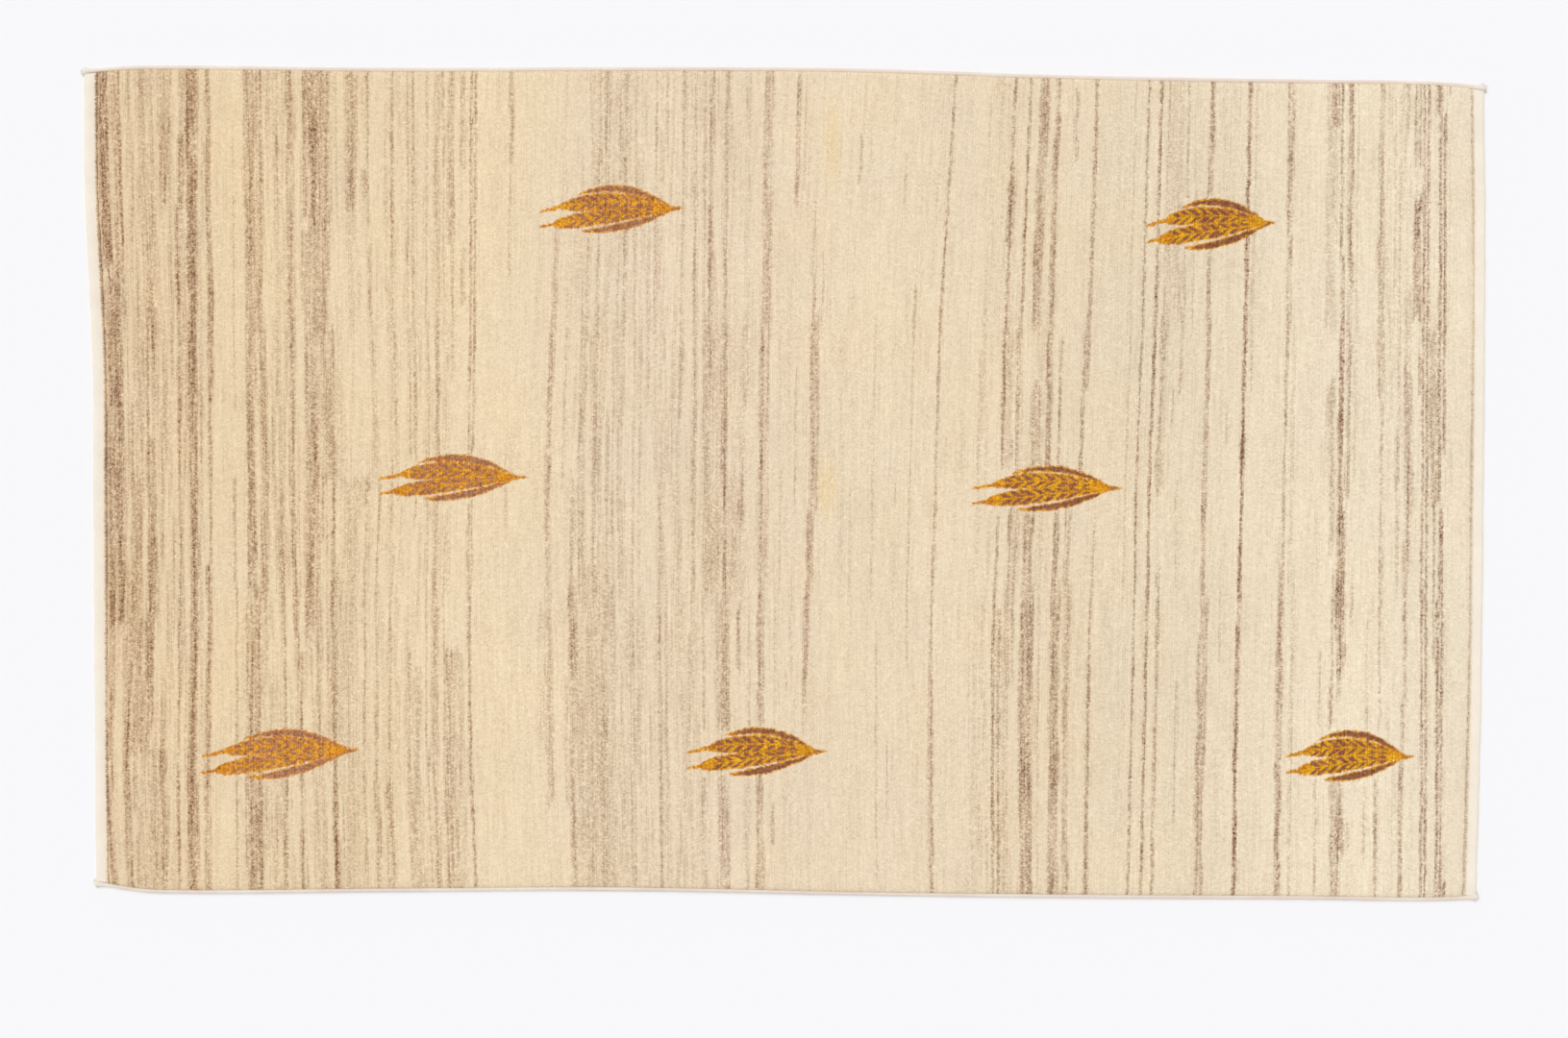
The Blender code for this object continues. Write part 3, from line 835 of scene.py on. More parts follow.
def pile_colours(x, y):
    """Linear colour, fleckiness and number of the row of knots, for the pile at real places."""
    px, py = photo_place(x, y)
    row_px = row_of(px, py)
    grey, red = brown_wool(row_px, py)
    total = grey + red
    factor = 1 + 0.40 * noise(row_px / 1.35, py / 1.8, 41)
    colour = ground_wool(row_px, px, py)
    darkening = (grey * factor)[..., None] * GREY_WOOL + (red * factor)[..., None] * RED_WOOL
    colour = colour * np.exp(-darkening)
    fleck = np.clip(total * 1.3, 0, 1)
    covered = paint_sprigs(colour, px, py)
    fleck = fleck * (1 - covered) + 0.55 * covered
    return colour, fleck, row_px / KNOT_PX


def new_piece(name, points, quads, material, polygons=()):
    """A smooth-shaded mesh piece from arrays of points and four-cornered faces, and some larger faces."""
    mesh = bpy.data.meshes.new(name)
    corners = [np.asarray(quads).reshape(-1), *[np.asarray(p) for p in polygons]]
    counts = [4] * len(quads) + [len(p) for p in polygons]
    starts = np.concatenate(([0], np.cumsum(counts)[:-1]))
    mesh.vertices.add(len(points))
    mesh.vertices.foreach_set("co", np.asarray(points, dtype=np.float32).reshape(-1))
    mesh.loops.add(int(sum(counts)))
    mesh.loops.foreach_set("vertex_index", np.concatenate(corners).astype(np.int32))
    mesh.polygons.add(len(counts))
    mesh.polygons.foreach_set("loop_start", starts.astype(np.int32))
    mesh.polygons.foreach_set("loop_total", np.array(counts, dtype=np.int32))
    mesh.update(calc_edges=True)
    mesh.validate()
    mesh.shade_smooth()
    mesh.materials.append(material)
    piece = bpy.data.objects.new(name, mesh)
    bpy.context.scene.collection.objects.link(piece)
    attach(piece, "root")
    return piece


def paint(piece, colours, flecks, row_numbers=None):
    """Gives a piece's points their colour, how flecked they are and the row of knots that they lie in."""
    mesh = piece.data
    yarn = mesh.color_attributes.new("yarn", "FLOAT_COLOR", "POINT")
    rgba = np.ones((len(mesh.vertices), 4), dtype=np.float32)
    rgba[:, :3] = colours
    yarn.data.foreach_set("color", rgba.reshape(-1))
    fleck = mesh.attributes.new("fleck", "FLOAT", "POINT")
    fleck.data.foreach_set("value", np.asarray(flecks, dtype=np.float32))
    if row_numbers is not None:
        row_number = mesh.attributes.new("row_number", "FLOAT", "POINT")
        row_number.data.foreach_set("value", np.asarray(row_numbers, dtype=np.float32))


def grid_quads(columns, rows):
    """Corner numbers of the cells of a grid of points, a row of points for each column."""
    i, j = np.meshgrid(np.arange(columns - 1), np.arange(rows - 1), indexing="ij")
    a = i * rows + j
    return np.stack((a, a + rows, a + rows + 1, a + 1), axis=-1).reshape(-1, 4)


def tube_faces(first, rings, sides):
    """Side faces and end faces of a tube whose rings of points are numbered from first."""
    quads = []
    for ring in range(rings - 1):
        for k in range(sides):
            a, b = first + ring * sides + k, first + ring * sides + (k + 1) % sides
            quads.append((a, b, b + sides, a + sides))
    last = first + (rings - 1) * sides
    caps = [[first + k for k in reversed(range(sides))], [last + k for k in range(sides)]]
    return quads, caps


def grid_rim(columns, rows):
    """Corner numbers round the rim of such a grid."""
    near = [i * rows for i in range(columns)]
    right = [(columns - 1) * rows + j for j in range(1, rows)]
    far = [i * rows + rows - 1 for i in range(columns - 2, -1, -1)]
    left = list(range(rows - 2, 0, -1))
    return np.array(near + right + far + left)


class Nodes:
    """A material's node tree, with short ways to add and join its nodes."""

    def __init__(self, name, roughness, sheen):
        self.material = bpy.data.materials.new(name)
        self.material.use_nodes = True
        self.tree = self.material.node_tree
        self.shader = self.tree.nodes["Principled BSDF"]
        self.shader.inputs["Roughness"].default_value = roughness
        self.shader.inputs["Specular IOR Level"].default_value = 0.15
        self.shader.inputs["Sheen Weight"].default_value = sheen
        self.shader.inputs["Sheen Roughness"].default_value = 0.6
        self.places = self.add("ShaderNodeTexCoord").outputs["Object"]

    def add(self, kind, inputs=None, **settings):
        node = self.tree.nodes.new(kind)
        for name, value in settings.items():
            setattr(node, name, value)
        for name, value in (inputs or {}).items():
            self.put(value, node.inputs[name])
        return node

    def put(self, value, socket):
        if isinstance(value, bpy.types.NodeSocket):
            self.tree.links.new(value, socket)
        else:
            socket.default_value = value

    def math(self, operation, first, second=0.0):
        node = self.add("ShaderNodeMath", operation=operation)
        self.put(first, node.inputs[0])
        self.put(second, node.inputs[1])
        return node.outputs[0]

    def stretched(self, x, y, z):
        """The object's own places, counted in cells of x by y by z metres."""
        mapping = self.add("ShaderNodeMapping", {"Vector": self.places, "Scale": (1 / x, 1 / y, 1 / z)})
        return mapping.outputs["Vector"]

    def noise(self, vector, detail=2.0):
        node = self.add("ShaderNodeTexNoise", {"Vector": vector, "Scale": 1.0, "Detail": detail})
        return node.outputs["Fac"]

    def cells(self, vector, randomness=0.8):
        inputs = {"Vector": vector, "Scale": 1.0, "Randomness": randomness}
        return self.add("ShaderNodeTexVoronoi", inputs)

    def colour_times(self, colour, factor):
        """A colour made lighter or darker by a number."""
        node = self.add("ShaderNodeVectorMath", operation="SCALE")
        self.put(colour, node.inputs[0])
        self.put(factor, node.inputs["Scale"])
        return node.outputs[0]

    def finish(self, colour, height, depth, strength):
        bump = self.add("ShaderNodeBump", {"Height": height, "Distance": depth, "Strength": strength})
        self.put(colour, self.shader.inputs["Base Color"])
        self.put(bump.outputs["Normal"], self.shader.inputs["Normal"])
        return self.material


# Besides the pile's unevenness, this also tints the painted shade between rows of knots.
UNEVEN_TINT = (0.84, 1.04, 1.16)  # how strongly unevenness shows in the red, green and blue


def pile_material():
    """Clipped wool pile: rows of knots, each knot a little darker or lighter, with its fibre ends, and
    painted shade in the grooves between the rows.
    """
    nodes = Nodes("pile_wool_pile", 0.95, 0.12)
    yarn = nodes.add("ShaderNodeAttribute", attribute_name="yarn").outputs["Color"]
    fleck = nodes.add("ShaderNodeAttribute", attribute_name="fleck").outputs["Fac"]
    row_number = nodes.add("ShaderNodeAttribute", attribute_name="row_number").outputs["Fac"]
    down = nodes.add("ShaderNodeSeparateXYZ", {"Vector": nodes.places}).outputs["Y"]

    def in_rows(per_row, length):
        """Places counted in rows, or parts of a row, and in stretches of this length along them."""
        place_x = nodes.math("MULTIPLY", row_number, per_row)
        place_y = nodes.math("MULTIPLY", down, 1 / length)
        return nodes.add("ShaderNodeCombineXYZ", {"X": place_x, "Y": place_y}).outputs[0]

    def part(value, plain, flecked):
        """How much one kind of unevenness lightens a place, and likewise the painted shade between rows:
        a plain amount, and more in streaks.
        """
        depth = nodes.math("MULTIPLY_ADD", fleck, flecked)
        depth.node.inputs[2].default_value = plain
        return nodes.math("MULTIPLY", nodes.math("SUBTRACT", 0.5, value), depth)

    def cell_tone(cells):
        return nodes.add("ShaderNodeSeparateColor", {"Color": cells.outputs["Color"]}).outputs["Red"]

    knots = nodes.cells(in_rows(1.0, 3.4 * MM), 0.85)
    specks = nodes.cells(in_rows(1.6, 1.8 * MM), 1.0)
    rows = nodes.noise(in_rows(1.4, 75 * MM), 2.0)
    from_row = nodes.math("SUBTRACT", nodes.math("FRACT", row_number), 0.5)
    between_rows = nodes.math("MULTIPLY", nodes.math("ABSOLUTE", from_row), 2.0)
    fibres = nodes.noise(nodes.stretched(0.9 * MM, 0.9 * MM, 0.9 * MM), 3.0)
    tufts = nodes.noise(nodes.stretched(7 * MM, 6 * MM, 7 * MM), 2.0)
    parts = (
        part(cell_tone(knots), 0.07, 0.45),
        part(cell_tone(specks), 0.15, 1.05),
        part(rows, 0.26, 1.45),
        # painted shade: each row of knots is darker towards its edges, in the grooves between rows
        part(between_rows, 0.05, 0.08),
        part(fibres, 0.36, 0.50),
        part(tufts, 0.10, 0.10),
    )
    total = parts[0]
    for more in parts[1:]:
        total = nodes.math("ADD", total, more)
    lighter = nodes.add("ShaderNodeVectorMath", operation="SCALE")
    lighter.inputs[0].default_value = UNEVEN_TINT
    nodes.put(nodes.math("MAXIMUM", total, -0.8), lighter.inputs["Scale"])
    factor = nodes.add("ShaderNodeVectorMath", {0: lighter.outputs[0], 1: (1, 1, 1)}, operation="ADD")
    colour = nodes.add("ShaderNodeVectorMath", {0: yarn, 1: factor.outputs[0]}, operation="MULTIPLY")
    dome = nodes.math("SUBTRACT", 1.0, knots.outputs["Distance"])
    height = nodes.math("ADD", nodes.math("MULTIPLY", dome, 0.8), nodes.math("MULTIPLY", fibres, 0.9))
    height = nodes.math("SUBTRACT", height, nodes.math("MULTIPLY", between_rows, 0.3))
    return nodes.finish(colour.outputs[0], height, 1.3 * MM, 0.7)


def back_material():
    """The cloth: ribbed weft on the hems, and the backs of the knots underneath, with painted shade in
    the gaps between them.
    """
    nodes = Nodes("pile_wool_cloth", 0.92, 0.08)
    yarn = nodes.add("ShaderNodeAttribute", attribute_name="yarn").outputs["Color"]
    fleck = nodes.add("ShaderNodeAttribute", attribute_name="fleck").outputs["Fac"]
    bumps = nodes.cells(nodes.stretched(1.7 * MM, 3.2 * MM, 30 * MM), 0.35)
    slubs = nodes.noise(nodes.stretched(1.3 * MM, 9 * MM, 3 * MM), 3.0)
    fibres = nodes.noise(nodes.stretched(0.7 * MM, 0.7 * MM, 0.7 * MM), 2.0)
    dirt = nodes.noise(nodes.stretched(30 * MM, 45 * MM, 30 * MM), 3.0)
    # painted shade: the backs of the knots are darker towards their edges, in the gaps between them
    knot_gap_shade = nodes.math("MULTIPLY", nodes.math("MULTIPLY", bumps.outputs["Distance"], fleck), -0.35)
    slub_part = nodes.math("MULTIPLY", nodes.math("SUBTRACT", slubs, 0.5), 0.16)
    dirt_part = nodes.math("MULTIPLY", nodes.math("SUBTRACT", dirt, 0.5), 0.07)
    tone = nodes.math("ADD", nodes.math("ADD", 1.0, knot_gap_shade), nodes.math("ADD", slub_part, dirt_part))
    colour = nodes.colour_times(yarn, tone)
    dome = nodes.math("MULTIPLY", nodes.math("SUBTRACT", 1.0, bumps.outputs["Distance"]), 0.6)
    height = nodes.math("ADD", dome, nodes.math("ADD", slubs, nodes.math("MULTIPLY", fibres, 0.3)))
    return nodes.finish(colour, height, 0.6 * MM, 0.5)


def yarn_material(name):
    """Wool yarn that is wrapped or hangs loose: its ply and its fibres."""
    nodes = Nodes(name, 0.9, 0.15)
    yarn = nodes.add("ShaderNodeAttribute", attribute_name="yarn").outputs["Color"]
    ply = nodes.noise(nodes.stretched(0.8 * MM, 2.6 * MM, 2.6 * MM), 2.0)
    fibres = nodes.noise(nodes.stretched(0.45 * MM, 0.45 * MM, 0.45 * MM), 2.0)
    soil = nodes.noise(nodes.stretched(25 * MM, 25 * MM, 25 * MM), 2.0)
    ply_part = nodes.math("MULTIPLY", nodes.math("SUBTRACT", ply, 0.5), 0.22)
    soil_part = nodes.math("MULTIPLY", nodes.math("SUBTRACT", soil, 0.5), 0.10)
    tone = nodes.math("ADD", 1.0, nodes.math("ADD", ply_part, soil_part))
    height = nodes.math("ADD", ply, nodes.math("MULTIPLY", fibres, 0.5))
    return nodes.finish(nodes.colour_times(yarn, tone), height, 0.5 * MM, 0.5)


CAMERA_HEIGHT = 3.2  # above the pile
VIEW_WIDTH = PHOTO_WIDTH * PIXEL


def make_camera():
    camera = bpy.data.objects.new("camera", bpy.data.cameras.new("camera"))
    bpy.context.scene.collection.objects.link(camera)
    x, y = real_place(0.5 * PHOTO_WIDTH, 0.5 * PHOTO_HEIGHT)
    camera.location = (x, y, PILE_HEIGHT + CAMERA_HEIGHT)
    camera.rotation_euler = (0, 0, PHOTO_TURN)
    camera.data.lens = camera.data.sensor_width * CAMERA_HEIGHT / VIEW_WIDTH
    bpy.context.scene.camera = camera


SKY_STRENGTH = 0.62
HORIZON_STRENGTH = 0.97
HORIZON_TOP = 0.35  # the sky's brightness falls off from the horizon up to a direction this steep
SUN_STRENGTH = 1.24
SUN_SPREAD = math.radians(50)


def make_light():
    world = bpy.data.worlds.new("studio")
    world.use_nodes = True
    background = world.node_tree.nodes["Background"]
    background.inputs["Color"].default_value = (1.0, 1.0, 1.0, 1.0)
    direction = world.node_tree.nodes.new("ShaderNodeTexCoord")
    split = world.node_tree.nodes.new("ShaderNodeSeparateXYZ")
    fade = world.node_tree.nodes.new("ShaderNodeMapRange")
    fade.inputs["From Max"].default_value = HORIZON_TOP
    fade.inputs["To Min"].default_value = HORIZON_STRENGTH
    fade.inputs["To Max"].default_value = SKY_STRENGTH
    world.node_tree.links.new(direction.outputs["Generated"], split.inputs["Vector"])
    world.node_tree.links.new(split.outputs["Z"], fade.inputs["Value"])
    world.node_tree.links.new(fade.outputs["Result"], background.inputs["Strength"])
    bpy.context.scene.world = world
    lamp = bpy.data.lights.new("softbox", "SUN")
    lamp.energy = SUN_STRENGTH
    lamp.angle = SUN_SPREAD
    softbox = bpy.data.objects.new("softbox", lamp)
    softbox.rotation_euler = (math.radians(-20), math.radians(-18), 0)
    bpy.context.scene.collection.objects.link(softbox)
    bpy.context.scene.view_settings.view_transform = "Standard"


def make_floor():
    half = 60.0  # so wide that its far edge is lost at the horizon
    nodes = Nodes("studio_floor", 0.9, 0.0)
    nodes.shader.inputs["Base Color"].default_value = (0.955, 0.955, 0.975, 1.0)
    nodes.shader.inputs["Specular IOR Level"].default_value = 0.0
    points = [(-half, -half, 0), (half, -half, 0), (half, half, 0), (-half, half, 0)]
    mesh = bpy.data.meshes.new("floor")
    mesh.from_pydata(points, [], [(0, 1, 2, 3)])
    mesh.materials.append(nodes.material)
    floor = bpy.data.objects.new("floor", mesh)
    bpy.context.scene.collection.objects.link(floor)
    return floor


def sprig_bands():
    """Nominal ranges across the rug that hold sprigs, from near to far."""
    spans = []
    for sprig in SPRIGS:
        far = real_place(sprig.tip_px, sprig.top_px - SPRIG_MARGIN_PX)[1]
        near = real_place(sprig.left_px, sprig.bottom_px + SPRIG_MARGIN_PX)[1]
        spans.append((near, far))
    spans.sort()
    bands = [spans[0]]
    for near, far in spans[1:]:
        if near < bands[-1][1]:
            bands[-1] = (min(near, bands[-1][0]), max(far, bands[-1][1]))
        else:
            bands.append((near, far))
    return bands


def pile_columns():
    rim = [-HALF_LENGTH + inset * MM for inset in RIM_INSETS_MM]
    inner = -rim[-1]
    middle = np.linspace(-inner, inner, COLUMNS + 1)[1:-1]
    return np.array(rim + list(middle) + [-at for at in reversed(rim)])


def pile_rows():
    """Nominal places across, and the numbers of the rows at which one panel of the pile ends."""
    rim = [-CLOTH_HALF_WIDTH + inset * MM for inset in SIDE_INSETS_MM]
    rows = list(rim)
    seams = [0]
    for near, far in sprig_bands():
        for to, step in ((near, COARSE_ROW), (far, FINE_ROW)):
            cells = max(1, round((to - rows[-1]) / step))
            rows += list(np.linspace(rows[-1], to, cells + 1)[1:])
            seams.append(len(rows) - 1)
    cells = round((-rim[-1] - rows[-1]) / COARSE_ROW)
    rows += list(np.linspace(rows[-1], -rim[-1], cells + 1)[1:])
    rows += [-at for at in reversed(rim[:-1])]
    seams.append(len(rows) - 1)
    return np.array(rows), seams


# How the pile rises from its rim: inset and height in mm at an end, inset and share of it at a side.
PILE_END_RISE = ((17.2, 6.2), (18.0, 7.2), (18.8, 8.0), (21.0, 9.7), (27.0, 10.4))
PILE_SIDE_RISE = ((0.0, 0.66), (0.8, 0.76), (3.0, 0.94), (9.0, 1.0))


def pile_height(along, across):
    """Height of the pile's top over nominal places, with its rounded rims and uneven knots."""
    from_end = (HALF_LENGTH - np.abs(along))[:, None] / MM
    from_side = (CLOTH_HALF_WIDTH - np.abs(across))[None, :] / MM
    end_height = np.interp(from_end, *zip(*PILE_END_RISE)) * MM
    side_share = np.interp(from_side, *zip(*PILE_SIDE_RISE))
    starts, ends = PILE_END_RISE[0][0], PILE_END_RISE[-1][0]
    flat = np.clip((from_end - starts) / (ends - starts), 0, 1)
    height = (end_height + pile_wave(along[:, None], across[None, :]) * flat) * side_share
    x, y = along[:, None] / MM, across[None, :] / MM
    lumps = 0.16 * noise(x / 16, y / 14, 51) + 0.20 * noise(x / 6.5, y / 6.0, 52)
    yarn_ends = np.random.default_rng(53).random(height.shape) - 0.5
    return height + (lumps + 0.42 * yarn_ends) * MM


# How much further in than a straight line the pile starts at each end.
PileEnd = namedtuple("PileEnd", "across_m left_mm right_mm")
PILE_ENDS = (
    PileEnd(-0.585, 2.0, 3.0),
    PileEnd(-0.450, 1.0, 2.5),
    PileEnd(-0.320, 0.5, 2.5),
    PileEnd(-0.200, 3.0, 1.5),
    PileEnd(-0.075, 4.5, 1.5),
    PileEnd(0.050, 4.0, 2.5),
    PileEnd(0.170, 2.0, 0.5),
    PileEnd(0.300, 4.5, 0.0),
    PileEnd(0.420, 2.5, 1.5),
    PileEnd(0.585, 3.0, 1.5),
)
PILE_END_REACH = 12 * MM  # how far in from its rim the pile's end is moved with it
SIDE_LAP = 0.8 * MM  # how far the pile leans out over each binding
SIDE_LAP_REACH = 4 * MM


def make_pile(material):
    """The pile, in panels that meet edge to edge: fine ones where the sprigs are."""
    along = pile_columns()
    across, seams = pile_rows()
    x, y = place_grid(along, across)
    z = pile_height(along, across)
    colours, flecks, row_numbers = pile_colours(x, y)
    ragged = 0.9 * noise(0, across / (5 * MM), 61) + 0.5 * noise(0, across / (2.2 * MM), 62)
    places, left, right = zip(*PILE_ENDS)
    left, right = np.interp(across, places, left), np.interp(across, places, right)
    set_back = np.where(along[:, None] < 0, left[None, :], right[None, :])
    from_rim = HALF_LENGTH - np.abs(along) - RIM_INSETS_MM[0] * MM
    reach = np.clip(1 - from_rim / PILE_END_REACH, 0, 1)
    x = x + np.sign(along)[:, None] * reach[:, None] * (ragged[None, :] - set_back) * MM
    lap = np.clip(1 - (CLOTH_HALF_WIDTH - np.abs(across)) / SIDE_LAP_REACH, 0, 1)
    y = y + SIDE_LAP * (np.sign(across) * lap)[None, :]
    panels = []
    for number, (first, last) in enumerate(zip(seams, seams[1:]), start=1):
        part = np.s_[:, first : last + 1]
        rows = last + 1 - first
        columns = len(along)
        top = np.stack((x[part], y[part], z[part]), axis=-1).reshape(-1, 3)
        rim = grid_rim(columns, rows)
        foot = top[rim].copy()
        foot[:, 2] = PILE_FOOT
        points = np.concatenate((top, foot))
        after = np.roll(np.arange(len(rim)), -1)
        walls = np.stack((rim, len(top) + np.arange(len(rim)), len(top) + after, rim[after]), axis=-1)
        cells = grid_quads(columns, rows)
        underside = (len(top) + np.arange(len(rim)))[::-1]
        quads = np.concatenate((cells, walls))
        panel = new_piece(f"pile_panel_{number}", points, quads, material, [underside])
        panel.data.set_sharp_from_angle(angle=math.radians(60))
        looks = (colours[part].reshape(-1, 3), flecks[part].reshape(-1), row_numbers[part].reshape(-1))
        paint(panel, *[np.concatenate((values, values[rim])) for values in looks])
        unfold(panel, columns, rows, len(cells))
        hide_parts("rug_cloth")
        panels.append(panel)
    return panels


FOLDS = 4  # a long panel is laid out for baking as this many stretches, one above the other


def unfold(panel, columns, rows, cell_count):
    """Lays a panel out for baking."""
    mesh = panel.data
    loops = np.empty(len(mesh.loops), dtype=np.int32)
    mesh.loops.foreach_get("vertex_index", loops)
    rim = grid_rim(columns, rows)
    on_wall = rim[np.clip(loops - columns * rows, 0, len(rim) - 1)]
    source = np.where(loops < columns * rows, loops, on_wall)
    column, row = source // rows, source % rows
    per_fold = -(-(columns - 1) // FOLDS)
    cell_column = np.arange(cell_count) // (rows - 1)
    fold = np.zeros(len(loops), dtype=int)
    fold[: 4 * cell_count] = np.repeat(cell_column // per_fold, 4)
    rest = slice(4 * cell_count, None)
    wall_column = np.minimum(column[rest], columns - 2)
    fold[rest] = wall_column // per_fold
    u = 0.004 + 0.992 * (column - fold * per_fold) / per_fold
    v = 0.003 + (fold + 0.94 * row / (rows - 1)) * 0.994 / FOLDS
    underside_start = len(loops) - len(rim)
    u[underside_start:] = 0.004 + 0.992 * column[underside_start:] / (columns - 1)
    v[underside_start:] = 0.994 + 0.004 * row[underside_start:] / (rows - 1)
    layer = mesh.uv_layers.new(name="OFBake")
    layer.data.foreach_set("uv", np.stack((u, v), axis=-1).astype(np.float32).reshape(-1))


# The cloth's section at an end: inset from the outside of the hem, and height.
HemStep = namedtuple("HemStep", "inset_mm height_mm")
HEM_TOP = (
    HemStep(0.0, 2.6),
    HemStep(0.25, 3.7),
    HemStep(0.9, 4.7),
    HemStep(1.9, 5.5),
    HemStep(3.2, 6.0),
    HemStep(5.2, 6.25),
    HemStep(7.6, 6.3),
    HemStep(10.0, 6.1),
    HemStep(12.4, 5.8),
    HemStep(14.6, 5.5),
    HemStep(16.4, 5.1),
    HemStep(18.4, 4.9),
    HemStep(24.0, 4.8),
)
HEM_FOOT = (HemStep(0.15, 1.6), HemStep(0.7, 0.7), HemStep(1.6, 0.15), HemStep(3.2, 0.0))
HEM_SWELL_FROM = 2.7 * MM  # only what lies above this height swells
HEM_REACH = 20 * MM
CLOTH_SIDE_HEIGHT = 4.6 * MM  # beside the bindings
CLOTH_ROWS = 112
CLOTH_INNER_COLUMNS = 9
BACK_COLUMNS = 236
# HEM_GREYED is both the hems' own uneven grey and the painted shade on their outer fold.
HEM_IVORY, HEM_GREYED = (250, 240, 224), (238, 226, 210)
HEM_TURNED_UNDER = 25 * MM  # how far in the ivory reaches underneath


def cloth_ring():
    """The cloth's section as one closed ring of places along the rug and heights; the top comes first."""
    top = [(-HALF_LENGTH + inset * MM, height * MM) for inset, height in HEM_TOP]
    inner, under_pile = -top[-1][0], top[-1][1]
    flat = [(at, under_pile) for at in np.linspace(-inner, inner, CLOTH_INNER_COLUMNS + 1)[1:-1]]
    top = top + flat + [(-at, height) for at, height in reversed(top)]
    foot = [(HALF_LENGTH - inset * MM, height * MM) for inset, height in HEM_FOOT]
    inner = foot[-1][0]
    back = [(at, 0.0) for at in np.linspace(inner, -inner, BACK_COLUMNS + 1)[1:-1]]
    ring = top + foot + back + [(-at, height) for at, height in reversed(foot)]
    along, heights = np.array(ring).T
    return along, heights, np.arange(len(ring)) < len(top)


def cloth_colours(along, is_top, x, y):
    """Ivory hems, greyed by painted shade along their outer fold, and, underneath, the backs of the
    knots. Also where the backs of the knots show.
    """
    colours, _, _ = pile_colours(x, y)
    px, py = photo_place(x, y)
    wool = ground_wool(px, px, py)
    colours = wool * 0.35 + colours * 0.65 * 0.96  # the backs of the knots show less brown
    ivory, greyed = srgb_to_linear(HEM_IVORY), srgb_to_linear(HEM_GREYED)
    from_end = HALF_LENGTH - np.abs(along)
    shade = (0.5 + 0.5 * noise(px / 30, py / 9, 74))[..., None]
    # painted shade: the hem's outer 3.5 mm, where it rounds over towards the floor, is greyed
    outer_fold_shade = np.clip(1 - from_end / (3.5 * MM), 0, 1)[:, None, None]
    hem = ivory * (1 - 0.35 * shade) + greyed * 0.35 * shade
    hem = hem * (1 - 0.5 * outer_fold_shade) + greyed * 0.5 * outer_fold_shade
    on_hem = smooth_step((HEM_TURNED_UNDER - from_end) / (2 * MM))[:, None]
    on_hem = np.where(is_top[:, None], 1.0, on_hem)
    colours = colours * (1 - on_hem[..., None]) + hem * on_hem[..., None]
    return colours, 1 - on_hem * np.ones_like(x)


def make_cloth(material):
    """The woven cloth as one closed sheet. Its two ends are turned under into rounded hems."""
    along, heights, is_top = cloth_ring()
    across = np.linspace(-CLOTH_HALF_WIDTH, CLOTH_HALF_WIDTH, CLOTH_ROWS + 1)
    x, y = place_grid(along, across)
    z = np.repeat(heights[:, None], len(across), axis=1)
    side, down = np.sign(along)[:, None], across[None, :] / MM
    swell = 0.35 * noise(side, down / 16, 71) + 0.20 * noise(side, down / 6, 72)
    z = np.where(is_top[:, None] & (z > HEM_SWELL_FROM), z + swell * MM, z)
    z[:, [0, -1]] = np.minimum(z[:, [0, -1]], CLOTH_SIDE_HEIGHT)
    near_end = np.clip(1 - (HALF_LENGTH - np.abs(along)) / HEM_REACH, 0, 1)[:, None]
    x = x + 0.5 * MM * side * near_end**6 * noise(side, down / 20, 73)

    columns, rows = len(along), len(across)
    points = np.stack((x, y, z), axis=-1).reshape(-1, 3)
    first, last = np.arange(rows - 1), (columns - 1) * rows + np.arange(rows - 1)
    closing = np.stack((last, first, first + 1, last + 1), axis=-1)
    quads = np.concatenate((grid_quads(columns, rows), closing))
    near_cap = (np.arange(columns) * rows)[::-1]
    far_cap = np.arange(columns) * rows + rows - 1
    cloth = new_piece("woven_cloth", points, quads, material, [near_cap, far_cap])
    cloth.data.set_sharp_from_angle(angle=math.radians(50))
    colours, flecks = cloth_colours(along, is_top, x, y)
    paint(cloth, colours.reshape(-1, 3), flecks.reshape(-1))
    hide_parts("rug_cloth")
    return cloth


WRAP_PITCH = 3.3 * MM
WRAP_SLANT = 1.6 * MM
WRAP_SLANT_FADE = 10 * MM
WRAP_GROOVE = 0.88  # a groove's thickness between two turns of the yarn
BINDING_SIDES = 8
# Each binding ends in a small knot. Places are past the outside of the hem.
KnotRing = namedtuple("KnotRing", "past_mm thickness")
KNOT = (
    KnotRing(-12.0, 1.0),
    KnotRing(-7.0, 1.14),
    KnotRing(-2.5, 1.30),
    KnotRing(1.0, 1.22),
    KnotRing(2.6, 0.80),
)
BINDING_PALE, BINDING_PINK, BINDING_BUFF = (248, 240, 228), (242, 226, 214), (236, 220, 200)


